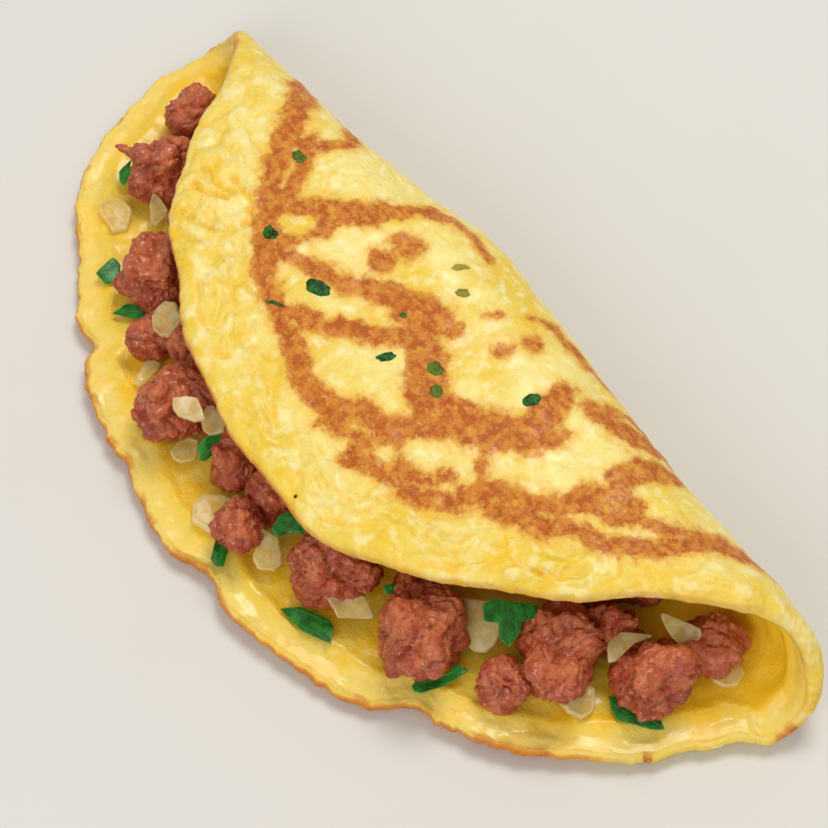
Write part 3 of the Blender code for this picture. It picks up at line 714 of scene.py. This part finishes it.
def egg_material(egg):
    board = Board(
        "cooked egg",
        Subsurface_Weight=0.25,
        Subsurface_Radius=(1.0, 0.6, 0.2),
        Subsurface_Scale=0.004,
        Specular_IOR_Level=0.3,
        Coat_Roughness=0.16,
        Coat_IOR=1.4,
    )
    scorch, rim = board.attribute("scorch"), board.attribute("from_rim")
    inner, under = board.attribute("inner"), board.attribute("under")
    outer = 1 - inner

    # Where the browning lies: distances to the streaks, in millimetres, with ragged edges
    ragged = board.noise(3.2, 3.0, 0.55) - 0.5
    speckle = board.noise(1.1, 3.0, 0.55) - 0.5
    field = scorch + ragged * 4.6 + speckle * 1.4
    browned = board.between(field, 0.8, -0.8) * outer
    halo = board.between(field, 2.4, -0.2) * outer
    dark = board.between(field + (board.noise(5.0, 2.0) - 0.5) * 6.0, -0.6, -3.2) * outer

    # The bare outer side: pale, with warmer patches, whitish curds and wrinkles by the edge; the curds and
    # wrinkle tops also carry painted highlights, and painted shade deepens the creases, the wrinkle troughs
    # and the band by the flap's edge
    broad = board.noise(16.0, 3.0, 0.55)
    curd_and_sheen = board.noise(2.8, 4.0, 0.62)
    bare = board.blend(board.between(broad, 0.36, 0.66), egg.pale, egg.warm)
    # Whitish speckles: partly the egg's own curds, partly painted highlights on the small lumps.
    bare = board.blend(board.between(curd_and_sheen, 0.48, 0.68) * 0.75, bare, egg.curd_and_sheen)
    streaky = board.between(board.noise(2.2, 4.0, 0.62, 0.3), 0.52, 0.7)
    bare = board.blend(streaky * 0.4, bare, egg.warm)
    # Painted shade: a deeper yellow band within about 16 mm of the rim, standing in for the shade where the
    # flap's edge turns down from the light.
    band = board.between(rim + (board.noise(8.0, 2.0) - 0.5) * 10.0, 16.0, 1.0)
    bare = board.blend(band * 0.55, bare, egg.warm)
    wrinkle = board.noise(4.4, 2.0, 0.5)
    by_edge = board.between(rim + (broad - 0.5) * 8.0, 15.0, 7.0) * outer * (1 - under)
    # Painted highlights on the wrinkle tops and painted shade in their troughs, following the same wrinkle
    # relief as the bump.
    bare = board.blend(board.between(wrinkle, 0.48, 0.36) * by_edge * 0.5, bare, egg.warm)
    bare = board.blend(board.between(wrinkle, 0.53, 0.66) * by_edge * 0.5, bare, egg.curd_and_sheen)
    # Painted shade: the creases and curl wrinkles are coloured a deeper gold, standing in for the shade that
    # falls in them.
    painted_crease_shade = board.attribute("dip").at_most(1.0) * board.between(board.noise(3.0, 3.0, 0.6), 0.36, 0.6)
    bare = board.blend(painted_crease_shade * 0.85, bare, egg.golden)

    # The wet inner side: golden, paler towards its rim and deepest gold inside the fold, where that gold is
    # painted shade
    golden = board.blend(board.between(board.noise(7.0, 3.0, 0.6), 0.34, 0.6), egg.golden, egg.warm)
    spots = board.between(board.noise(1.7, 3.0, 0.6), 0.54, 0.7)
    golden = board.blend(spots * 0.38, golden, egg.pale)
    lip = board.between(rim + (board.noise(5.0, 2.0) - 0.5) * 4.0, 7.0, 3.0)
    golden = board.blend(lip * 0.42, golden, egg.pale)
    # Painted shade: the warm gold that the inner side shows in the shade inside the fold.
    golden = board.blend(board.attribute("fold_shade") * (1 - lip) * 0.85, golden, egg.fold_shade)
    ground = board.blend(inner, bare, golden)
    ground = board.blend(halo * 0.75, ground, egg.halo)

    # The browned crust, with darker and lighter grain, and painted highlight specks among the lighter grain
    grain = board.noise(2.0, 4.0, 0.62)
    crust = board.blend(board.between(grain, 0.38, 0.62), egg.browned_dark, egg.browned)
    # Lighter grain of the crust, partly painted highlight specks.
    crust = board.blend(board.between(board.noise(0.8, 3.0, 0.6), 0.54, 0.7) * 0.6, crust, egg.light_grain_and_glint)
    crust = board.blend(board.between(board.noise(3.4, 4.0, 0.6), 0.52, 0.68) * 0.6, crust, egg.halo)
    crust = board.blend(dark * board.between(grain, 0.56, 0.4) * 0.5, crust, egg.browned_dark)
    colour = board.blend(browned * 0.95, ground, crust)

    # The rim, toasted where it lay in the pan
    edge_noise = (board.noise(5.0, 5.0, 0.64) - 0.5) * 3.4
    toast = 1 - board.attribute("bare") * 0.95
    glow = board.between(rim + edge_noise * 0.6, 1.5, 0.0) * toast
    colour = board.blend(glow * 0.45, colour, egg.halo)
    fringe = board.between(rim + edge_noise, 0.55, -0.1) * (0.4 + under * 0.6)
    line = board.between(rim + edge_noise * 0.3, 0.6, 0.08) * (1 - under)
    wall = board.between(rim + edge_noise, 3.0, 1.0) * under
    colour = board.blend(line * toast * 0.9, colour, egg.browned)
    toasted = (fringe * 0.8 + wall).at_most(1.0) * toast
    colour = board.blend(toasted * 0.85, colour, crust)
    board.feed("Base Color", colour)

    # Gloss and fine relief
    board.feed("Roughness", 0.5 + browned * 0.12 - inner * 0.12 + (curd_and_sheen - 0.5) * 0.2)
    oil = board.between(board.noise(7.0, 3.0, 0.6), 0.46, 0.62)
    board.feed("Coat Weight", (oil * 0.55 + inner * 0.3) * (1 - browned * 0.6))
    pits = board.noise(0.9, 3.0, 0.6) * 0.2 + board.noise(2.4, 2.0, 0.5) * 0.6 * (1 - inner * 0.6)
    blisters = board.noise(0.8, 3.0, 0.62) * browned * 0.4
    board.feed("Normal", board.bump(pits + blisters + browned * 0.1 + wrinkle * by_edge))
    return board.material


def meat_material(filling):
    board = Board(
        "cooked sausage",
        Subsurface_Weight=0.15,
        Subsurface_Radius=(1.0, 0.35, 0.2),
        Subsurface_Scale=0.0018,
        Specular_IOR_Level=0.5,
        Coat_Roughness=0.12,
        Coat_IOR=1.42,
    )
    crease = board.attribute("crease")
    patch = board.noise(3.4, 4.0, 0.62)
    top = board.attribute("top")
    # Paler where the surface faces up: partly drier meat on top, partly painted light from above.
    colour = board.blend(board.between(patch + top * 0.14, 0.44, 0.76), filling.meat, filling.meat_pale)
    red = board.noise(2.6, 3.0, 0.6, 0.6)
    colour = board.blend(board.between(red, 0.54, 0.7) * 0.6, colour, filling.meat_red)
    fat = board.between(board.noise(1.1, 4.0, 0.64), 0.56, 0.7)
    colour = board.blend(fat * 0.7, colour, filling.fat)
    brown = board.between(board.noise(4.4, 3.0, 0.6), 0.54, 0.7)
    colour = board.blend(brown * 0.5, colour, filling.meat_brown)
    # Painted shade: a darker red in the creases between the nodules.
    colour = board.blend(board.between(crease, 0.3, 0.95) * 0.6, colour, filling.meat_crevice_shade)
    board.feed("Base Color", colour)
    board.feed("Roughness", 0.42 - fat * 0.1 + (board.noise(1.1, 2.0) - 0.5) * 0.3)
    board.feed("Coat Weight", board.between(board.noise(2.2, 3.0, 0.6), 0.4, 0.6) * 0.7)
    fibres = board.noise(1.1, 4.0, 0.66) * 0.7 + board.noise(0.4, 2.0, 0.6) * 0.14
    board.feed("Normal", board.bump(fibres))
    return board.material


def onion_material(filling):
    board = Board(
        "cooked onion",
        Subsurface_Weight=0.4,
        Subsurface_Radius=(1.0, 0.8, 0.4),
        Subsurface_Scale=0.004,
        Transmission_Weight=0.15,
        IOR=1.36,
        Coat_Roughness=0.07,
        Coat_IOR=1.4,
    )
    out = board.attribute("out")
    vein = board.noise(2.4, 3.0, 0.55, 0.5)
    colour = board.blend(board.between(vein, 0.36, 0.66), filling.onion, filling.onion_pale)
    colour = board.blend(board.between(board.noise(5.0, 2.0), 0.5, 0.7) * 0.45, colour, filling.onion_amber)
    edge = board.between(out, 0.8, 0.97)
    colour = board.blend(edge * 0.7, colour, filling.onion_pale)
    board.feed("Alpha", 0.44 + edge * 0.28 + (vein - 0.5) * 0.3)
    board.feed("Base Color", colour)
    board.feed("Roughness", 0.22 + (vein - 0.5) * 0.16)
    board.feed("Coat Weight", 0.6 + (board.noise(2.0, 2.0) - 0.5) * 0.5)
    board.feed("Normal", board.bump(board.noise(1.8, 2.0, 0.5, 0.8) * 0.24))
    return board.material


def leaf_material(herbs):
    board = Board("chopped parsley", Coat_Roughness=0.2, Specular_IOR_Level=0.35)
    across, along, out = board.attribute("across"), board.attribute("along"), board.attribute("out")
    bent = across + (board.noise(3.0, 2.0) - 0.5) * 0.5
    wave = board.add("ShaderNodeMath", {"operation": "PINGPONG"}, {0: bent + 20.0, 1: 0.62})
    vein = board.between(wave, 0.14, 0.0) * board.between(board.noise(2.0, 2.0), 0.34, 0.56)
    slanting = along + abs(across) * 0.8 + 20.0
    side_vein = board.add("ShaderNodeMath", {"operation": "PINGPONG"}, {0: slanting, 1: 0.45})
    vein = vein.at_least(board.between(side_vein, 0.07, 0.0) * 0.5)
    tone = board.between(board.noise(2.4, 3.0, 0.6), 0.36, 0.64)
    colour = board.blend(tone, herbs.leaf_dark, herbs.leaf)
    colour = board.blend(vein * 0.7, colour, herbs.leaf_vein)
    colour = board.blend(board.between(out, 0.93, 0.99) * 0.35, colour, herbs.leaf_vein)
    board.feed("Base Color", colour)
    board.feed("Roughness", 0.42 + (board.noise(1.2, 2.0) - 0.5) * 0.25)
    board.feed("Coat Weight", 0.12 + (tone - 0.5) * 0.16)
    board.feed("Normal", board.bump(board.noise(0.9, 3.0) * 0.16 - vein * 0.2))
    return board.material


def fleck_material(herbs, egg):
    board = Board("herb fleck", Coat_Roughness=0.25, Specular_IOR_Level=0.25)
    veil = board.attribute("veil")
    tone = board.between(board.noise(1.1, 3.0, 0.6), 0.38, 0.62)
    colour = board.blend(tone, herbs.fleck_dark, herbs.fleck)
    colour = board.blend(veil, colour, egg.warm)
    board.feed("Base Color", colour)
    board.feed("Roughness", 0.5 + (tone - 0.5) * 0.2)
    board.feed("Coat Weight", 0.08 * tone)
    board.feed("Normal", board.bump(board.noise(0.5, 3.0) * 0.2))
    return board.material


# The settings that a user would change


def colour_property(name, description, values):
    look = {"subtype": "COLOR", "size": 3, "min": 0, "max": 1}
    return FloatVectorProperty(name=name, description=description, default=values, **look)


class EggSettings(PropertyGroup):
    cells: IntProperty(
        name="Cells", description="Cells across each face of the sheet", default=200, min=32, max=220
    )
    lump_height: FloatProperty(
        name="Lump height",
        description="Height of the soft lumps",
        unit="LENGTH",
        default=0.0005,
        precision=5,
    )
    crease_height: FloatProperty(
        name="Crease depth",
        description="Depth of the creases by the edge",
        unit="LENGTH",
        default=0.0005,
        precision=5,
    )
    pale: colour_property("Pale egg", "Bare egg where it is palest", srgb(248, 229, 140))
    warm: colour_property("Warm egg", "Deeper yellow of the bare egg", srgb(239, 205, 66))
    # Colour of the whitish curds, also used for painted highlights on the bare egg.
    curd_and_sheen: colour_property("Curd", "Whitish curds in the egg", srgb(253, 243, 186))
    golden: colour_property("Inner egg", "Wet inner side of the sheet", srgb(250, 196, 16))
    fold_shade: colour_property("Deep in the fold", "Inner side where the fold shades it", srgb(253, 203, 34))
    halo: colour_property("Light browning", "Round the browned streaks", srgb(238, 178, 58))
    browned: colour_property("Browned", "Browned streaks", srgb(214, 133, 46))
    browned_dark: colour_property("Dark browned", "Darkest grain of the streaks", srgb(184, 86, 20))
    # Colour of the crust's lighter grain, also used for its painted highlight specks.
    light_grain_and_glint: colour_property("Light grain", "Lightest grain of the streaks", srgb(238, 176, 98))


class FillingSettings(PropertyGroup):
    voxel: FloatProperty(
        name="Skin size",
        description="Face size on a crumble",
        unit="LENGTH",
        default=0.00034,
        precision=5,
    )
    grain: FloatProperty(
        name="Grain",
        description="Size of a grain of the minced meat",
        unit="LENGTH",
        default=0.0031,
        precision=5,
    )
    meat: colour_property("Sausage", "Cooked sausage", srgb(172, 65, 29))
    meat_pale: colour_property("Pale sausage", "Paler parts of it", srgb(208, 112, 64))
    meat_red: colour_property("Red sausage", "Redder parts of it", srgb(158, 44, 24))
    meat_brown: colour_property("Browned sausage", "Parts that took colour", srgb(152, 66, 30))
    # Painted shade colour for the sausage's crevices.
    meat_crevice_shade: colour_property("Crevice", "In its crevices", srgb(112, 32, 12))
    fat: colour_property("Fat", "Specks of fat", srgb(240, 178, 130))
    onion: colour_property("Onion", "Cooked onion", srgb(241, 208, 104))
    onion_pale: colour_property("Pale onion", "Paler parts of it", srgb(252, 238, 180))
    onion_amber: colour_property("Amber onion", "Where it took colour", srgb(228, 182, 92))


class HerbSettings(PropertyGroup):
    leaf_thick: FloatProperty(
        name="Leaf thickness",
        description="Thickness of a leaf",
        unit="LENGTH",
        default=0.0004,
        precision=5,
    )
    leaf: colour_property("Leaf", "Parsley in the light", srgb(30, 138, 34))
    leaf_dark: colour_property("Dark leaf", "Darker parts of it", srgb(10, 92, 16))
    leaf_vein: colour_property("Vein", "Its veins", srgb(110, 190, 84))
    fleck: colour_property("Fleck", "Herb cooked into the egg", srgb(34, 112, 20))
    fleck_dark: colour_property("Dark fleck", "Its darker parts", srgb(4, 50, 6))


class StageSettings(PropertyGroup):
    floor: colour_property("Floor", "The plain pale floor", srgb(226, 224, 219))
    key: FloatProperty(name="Key light", description="Power of the main light", unit="POWER", default=4.9)
    fill: FloatProperty(name="Fill light", description="Power of the weaker light", unit="POWER", default=4.4)
    sky: FloatProperty(name="Surround", description="Strength of the light from all round", default=0.46)


# The pieces


class OMELETTE_OT_egg(Operator):
    """The folded sheet of egg, as one closed mesh with its relief and ragged rim"""

    bl_idname = "omelette.egg"
    bl_label = "Egg Sheet"

    def execute(self, context):
        egg = context.scene.omelette_egg
        form = bmesh.new()
        layers = {name: form.verts.layers.float.new(name) for name in EGG_LAYERS}
        bmesh.ops.create_grid(form, x_segments=egg.cells, y_segments=egg.cells, size=1.0)
        outer = list(form.verts)
        copied = bmesh.ops.duplicate(form, geom=form.verts[:] + form.edges[:] + form.faces[:])
        inner = [v for v in copied["geom"] if isinstance(v, bmesh.types.BMVert)]
        for verts, side in ((outer, 1), (inner, -1)):
            places = []
            for vert in verts:
                x, s, from_rim, angle = disc_point(toward_rim(vert.co.x), toward_rim(vert.co.y), 1.0)
                vert.co, vert[layers["dip"]] = sheet_surface(x, s, from_rim, angle, side, egg)
                vert[layers["from_rim"]] = from_rim
                vert[layers["inner"]] = 0.0 if side > 0 else ease(0.0, INNER_START, from_rim)
                vert[layers["under"]] = 1 - ease(*UNDERSIDE, s) if side > 0 else 0.0
                vert[layers["fold_shade"]] = 0.0 if side > 0 else ease(*DEEP_FOLD, s)
                vert[layers["bare"]] = bare_edge(x, s)
                places.append((x, s))
            streaks = scorch_distance(np.array(places))
            for vert, (x, s), streak in zip(verts, places, streaks):
                hidden = 1 - ease(BACK_FADE, STREAK_END_S, s)
                vert[layers["scorch"]] = streak + hidden * (net_distance(x, s) - streak)
        bmesh.ops.remove_doubles(form, verts=form.verts, dist=WELD)
        bmesh.ops.recalc_face_normals(form, faces=form.faces)
        to_part(form, drawing_shift())
        piece = new_piece("egg", form, egg_material(egg))
        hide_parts("egg_sheet")
        return {"FINISHED"}


def puff(place, size, fullness=2.8):
    """Rounded lumps of about this size, 0 in the creases between them and about 1 on top."""
    return min(1.0, abs(noise.noise(place / size)) * fullness)


def drift(place):
    """A direction that wanders smoothly, the same in every run."""
    return Vector([noise.noise(place + k * Vector((31.4, 17.7, 5.3))) for k in range(3)])


def mince(form, grain, depth):
    """Gives a smooth lump of meat the nodules and creases of cooked mince, and notes the creases."""
    crease, top = (form.verts.layers.float.new(name) for name in ("crease", "top"))
    form.normal_update()
    moved = []
    for vert in form.verts:
        place = vert.co / MM
        bent = place + 1.3 * drift(place / 5.0) + 0.5 * drift(place / 1.8)
        large = puff(bent, grain * 1.35, 3.6)
        small = puff(bent + Vector((40, 0, 0)), grain * 0.6)
        fine = puff(bent + Vector((0, 60, 0)), grain * 0.3)
        height = 3.0 * noise.noise(place / 5.8) + noise.noise(bent / 2.8)
        height += 0.35 * noise.noise(bent / 1.3) + 0.4
        height -= depth * (0.8 * (1 - large) ** 2 + 0.5 * (1 - small) ** 2 + 0.25 * (1 - fine) ** 2)
        moved.append(vert.co + vert.normal * height * MM)
        vert[crease] = min(1.0, 0.7 * (1 - large) ** 4 + 0.4 * (1 - small) ** 4 + 0.15 * (1 - fine) ** 2)
        # How much each point faces up, for the paler tops: partly drier meat, partly painted light from
        # above.
        vert[top] = ease(-0.2, 0.9, vert.normal.z)
    for vert, place in zip(form.verts, moved):
        vert.co = place


class OMELETTE_OT_core(Operator):
    """The sausage filling inside the fold, which shows in the shade under the flap"""

    bl_idname = "omelette.core"
    bl_label = "Filling Inside"

    def execute(self, context):
        filling = context.scene.omelette_filling
        form = remeshed(merged_node("filling_core"), filling.voxel * 2.1)
        mince(form, filling.grain / MM * 1.5, 1.3)
        piece = new_piece("filling_inside", form, shared_material("cooked sausage", meat_material, filling))
        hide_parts("filling_core")
        return {"FINISHED"}


def shared_material(name, maker, *settings):
    return bpy.data.materials.get(name) or maker(*settings)


class OMELETTE_OT_sausage(Operator):
    """The crumbles of sausage along the mouth"""

    bl_idname = "omelette.sausage"
    bl_label = "Sausage Crumbles"

    def execute(self, context):
        filling = context.scene.omelette_filling
        material = shared_material("cooked sausage", meat_material, filling)
        for index in range(1, SAUSAGES + 1):
            node = f"sausage_{index:02d}"
            form = remeshed(merged_node(node), filling.voxel)
            mince(form, filling.grain / MM, 1.0)
            piece = new_piece(f"crumble_{index:02d}", form, material)
            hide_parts(node)
        rounding = {"softness": 0.12, "squareness": 3}
        form = gathered(slab(*row, **rounding, seed=2.1 * index) for index, row in enumerate(SHREDS))
        to_part(form, drawing_shift())
        mince(form, filling.grain / MM, 0.35)
        new_piece("sausage_shreds", form, material)
        return {"FINISHED"}


def outline_reach(outline, angle):
    """How far the outline lies from its middle in this direction."""
    dx, dy = math.cos(angle), math.sin(angle)
    for (ax, ay), (bx, by) in zip(outline, outline[1:] + outline[:1]):
        ex, ey = bx - ax, by - ay
        facing = dx * ey - dy * ex
        if abs(facing) < 1e-9:
            continue
        reach = (ax * ey - ay * ex) / facing
        share = (ax * dy - ay * dx) / facing
        if reach > 0 and -1e-9 <= share <= 1 + 1e-9:
            return reach
    raise ValueError("the middle must lie inside the outline")


def seen_directions():
    """The picture's right and up, and the way that the camera looks."""
    turn, rise = math.radians(CAMERA_AZIMUTH), math.radians(CAMERA_ELEVATION)
    right = Vector((math.cos(turn), math.sin(turn), 0.0))
    back = Vector((math.sin(turn) * math.cos(rise), -math.cos(turn) * math.cos(rise), math.sin(rise)))
    return right, back.cross(right), -back


def slab(middle, lean, roll, thick, outline, veins=0.0, cells=26, softness=0.06, squareness=10, seed=0):
    """A thin piece with rounded edges whose outline, seen from the camera, is this one."""
    form = bmesh.new()
    layers = {name: form.verts.layers.float.new(name) for name in ("out", "along", "across")}
    bmesh.ops.create_grid(form, x_segments=cells, y_segments=cells, size=1.0)
    upper = list(form.verts)
    copied = bmesh.ops.duplicate(form, geom=form.verts[:] + form.edges[:] + form.faces[:])
    lower = [v for v in copied["geom"] if isinstance(v, bmesh.types.BMVert)]
    centre = Vector((sum(p[0] for p in outline), sum(p[1] for p in outline))) / len(outline)
    around = tuple((p[0] - centre.x, p[1] - centre.y) for p in outline)
    right, up, look = seen_directions()
    away = Vector((-right.y, right.x, 0.0))
    lean, roll, veins = math.radians(lean), math.radians(roll), math.radians(veins)
    normal = Vector((0, 0, 1)) * math.cos(lean) - away * math.sin(lean)
    normal = normal * math.cos(roll) + right * math.sin(roll)
    for verts, side in ((upper, 1), (lower, -1)):
        for vert in verts:
            a, b = toward_rim(vert.co.x), toward_rim(vert.co.y)
            u, v = a * math.sqrt(1 - b * b / 2), b * math.sqrt(1 - a * a / 2)
            angle, out = math.atan2(v, u), min(1.0, math.hypot(u, v))
            reach = sum(outline_reach(around, angle + k * softness) for k in (-1, 0, 1)) / 3
            reach *= 1 + 0.04 * noise.noise(Vector((math.cos(angle) * 3, math.sin(angle) * 3, seed)))
            u, v = reach * out * math.cos(angle), reach * out * math.sin(angle)
            flat = right * (u + centre.x) + up * (v + centre.y)
            flat -= look * (flat.dot(normal) / look.dot(normal))
            along = u * math.cos(veins) + v * math.sin(veins)
            across = v * math.cos(veins) - u * math.sin(veins)
            waves = noise.noise(Vector((u / 4, v / 4, seed)))
            rise = SLAB_BEND * (waves - 0.12 * across * across / 2)
            rise += side * thick / 2 * math.sqrt(max(0.0, 1 - out**squareness))
            vert.co = Vector(middle) + flat + normal * rise
            vert[layers["out"]] = out
            vert[layers["along"]] = along
            vert[layers["across"]] = across / (1 + 0.05 * along)
    bmesh.ops.remove_doubles(form, verts=form.verts, dist=0.0005)
    bmesh.ops.recalc_face_normals(form, faces=form.faces)
    return form


class OMELETTE_OT_onion(Operator):
    """The pieces of onion along the mouth"""

    bl_idname = "omelette.onion"
    bl_label = "Onion Pieces"

    def execute(self, context):
        filling = context.scene.omelette_filling
        material = shared_material("cooked onion", onion_material, filling)
        shift = drawing_shift()
        for index, (middle, lean, roll, thick, outline) in enumerate(ONION_PIECES, 1):
            form = slab(middle, lean, roll, thick, outline, 0.0, 34, 0.03, 22, seed=3.7 * index)
            to_part(form, shift)
            piece = new_piece(f"onion_piece_{index:02d}", form, material)
            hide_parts(f"onion_{index:02d}")
        return {"FINISHED"}


class OMELETTE_OT_parsley(Operator):
    """The chopped parsley among the filling"""

    bl_idname = "omelette.parsley"
    bl_label = "Parsley"

    def execute(self, context):
        herbs = context.scene.omelette_herbs
        material = shared_material("chopped parsley", leaf_material, herbs)
        leaves = []
        for index, (middle, lean, roll, veins, outline) in enumerate(LEAVES, 1):
            thick = herbs.leaf_thick / MM
            leaves.append(slab(middle, lean, roll, thick, outline, veins, 40, 0.012, 6, seed=5.3 * index))
        form = gathered(leaves)
        to_part(form, drawing_shift())
        new_piece("parsley", form, material)
        return {"FINISHED"}


class OMELETTE_OT_flecks(Operator):
    """The flecks of herb cooked into the upper side of the egg"""

    bl_idname = "omelette.flecks"
    bl_label = "Herb Flecks"

    def execute(self, context):
        herbs, egg = context.scene.omelette_herbs, context.scene.omelette_egg
        material = shared_material("herb fleck", fleck_material, herbs, egg)
        form = gathered(fleck(egg, 3.0 * index, *row) for index, row in enumerate(FLECKS, 1))
        to_part(form, drawing_shift())
        new_piece("herb_flecks", form, material)
        return {"FINISHED"}


def fleck(egg, seed, x, s, length, width, turn, veil):
    """A ragged scrap of herb that lies half sunk in the egg's upper side."""
    form = bmesh.new()
    bmesh.ops.create_grid(form, x_segments=12, y_segments=10, size=1.0)
    veils = form.verts.layers.float.new("veil")
    cos, sin = math.cos(math.radians(turn)), math.sin(math.radians(turn))
    for vert in form.verts:
        a, b = vert.co.x, vert.co.y
        u, v = a * math.sqrt(1 - b * b / 2), b * math.sqrt(1 - a * a / 2)
        ragged = 1 + 0.32 * noise.noise(Vector((math.atan2(v, u) * 1.3, seed, 0.0)))
        u, v = u * length / 2 * ragged, v * width / 2 * ragged
        at_x, at_s = x + u * cos - v * sin, s + u * sin + v * cos
        angle = math.degrees(math.atan2(at_s - DISC_MIDDLE, at_x))
        from_rim = rim_reach(angle) - math.hypot(at_x, at_s - DISC_MIDDLE)
        crown = 0.22 * (1 - min(1.0, a * a)) * (1 - min(1.0, b * b)) - 0.10
        top, _ = sheet_surface(at_x, at_s, from_rim, angle, 1, egg)
        vert.co = top + fold_normal(at_x, at_s) * crown
        vert[veils] = veil
    bmesh.ops.solidify(form, geom=form.faces[:], thickness=-0.2)
    bmesh.ops.recalc_face_normals(form, faces=form.faces)
    return form


class OMELETTE_OT_stage(Operator):
    """The pale floor, the soft lights and the camera at the photograph's angle"""

    bl_idname = "omelette.stage"
    bl_label = "Stage"

    def execute(self, context):
        stage = context.scene.omelette_stage
        form = bmesh.new()
        bmesh.ops.create_grid(form, x_segments=1, y_segments=1, size=FLOOR_SIZE)
        mesh = bpy.data.meshes.new("floor")
        form.to_mesh(mesh)
        form.free()
        board = Board("floor", Roughness=0.8)
        shade = tuple(FLOOR_SHADE * v for v in stage.floor)
        board.feed("Base Color", board.blend(board.noise(60.0, 3.0), stage.floor, shade))
        mesh.materials.append(board.material)
        floor = bpy.data.objects.new("floor", mesh)
        context.scene.collection.objects.link(floor)
        floor.location.z = FLOOR_Z
        self.light("key", stage.key, KEY_SIZE, Vector(KEY_PLACE), KEY_COLOUR)
        self.light("fill", stage.fill, FILL_SIZE, Vector(FILL_PLACE), SOFT_COLOUR)
        world = bpy.data.worlds.new("surround")
        world.use_nodes = True
        light = world.node_tree.nodes["Background"].inputs
        light["Color"].default_value = (*SOFT_COLOUR, 1.0)
        light["Strength"].default_value = stage.sky
        context.scene.world = world
        context.scene.view_settings.view_transform = "Standard"
        self.camera(context)
        return {"FINISHED"}

    def light(self, name, power, size, place, colour):
        lamp = bpy.data.lights.new(name, "AREA")
        lamp.energy, lamp.size, lamp.color = power, size, colour
        holder = bpy.data.objects.new(name, lamp)
        bpy.context.scene.collection.objects.link(holder)
        holder.location = place
        holder.rotation_euler = (-place).to_track_quat("-Z", "Y").to_euler()

    def camera(self, context):
        aim = (Vector((*PICTURE_MIDDLE, 0.0)) + drawing_shift()) * MM
        _, _, look = seen_directions()
        camera = bpy.data.objects.new("camera", bpy.data.cameras.new("camera"))
        context.scene.collection.objects.link(camera)
        camera.location = aim - look * CAMERA_DISTANCE * MM
        camera.rotation_euler = look.to_track_quat("-Z", "Y").to_euler()
        camera.data.lens = LENS
        camera.data.sensor_width = SENSOR
        camera.data.clip_start = 0.01
        context.scene.camera = camera


OPERATORS = (
    OMELETTE_OT_egg,
    OMELETTE_OT_core,
    OMELETTE_OT_sausage,
    OMELETTE_OT_onion,
    OMELETTE_OT_parsley,
    OMELETTE_OT_flecks,
    OMELETTE_OT_stage,
)


class OMELETTE_PT_panel(Panel):
    """Lists the omelette's pieces in the sidebar"""

    bl_label = "Omelette"
    bl_idname = "OMELETTE_PT_panel"
    bl_space_type = "VIEW_3D"
    bl_region_type = "UI"
    bl_category = "Omelette"

    def draw(self, context):
        for operator in OPERATORS:
            self.layout.operator(operator.bl_idname)
        for group in SETTINGS:
            box = self.layout.box()
            values = getattr(context.scene, group)
            for field in values.__annotations__:
                box.prop(values, field)


SETTINGS = {
    "omelette_egg": EggSettings,
    "omelette_filling": FillingSettings,
    "omelette_herbs": HerbSettings,
    "omelette_stage": StageSettings,
}


def register():
    for each in (*SETTINGS.values(), *OPERATORS, OMELETTE_PT_panel):
        bpy.utils.register_class(each)
    for name, group in SETTINGS.items():
        setattr(bpy.types.Scene, name, PointerProperty(type=group))


def unregister():
    for name in SETTINGS:
        delattr(bpy.types.Scene, name)
    for each in reversed((*SETTINGS.values(), *OPERATORS, OMELETTE_PT_panel)):
        bpy.utils.unregister_class(each)


def main():
    register()
    for piece in ("egg", "core", "sausage", "onion", "parsley", "flecks", "stage"):
        getattr(bpy.ops.omelette, piece)()


if __name__ == "__main__":
    main()
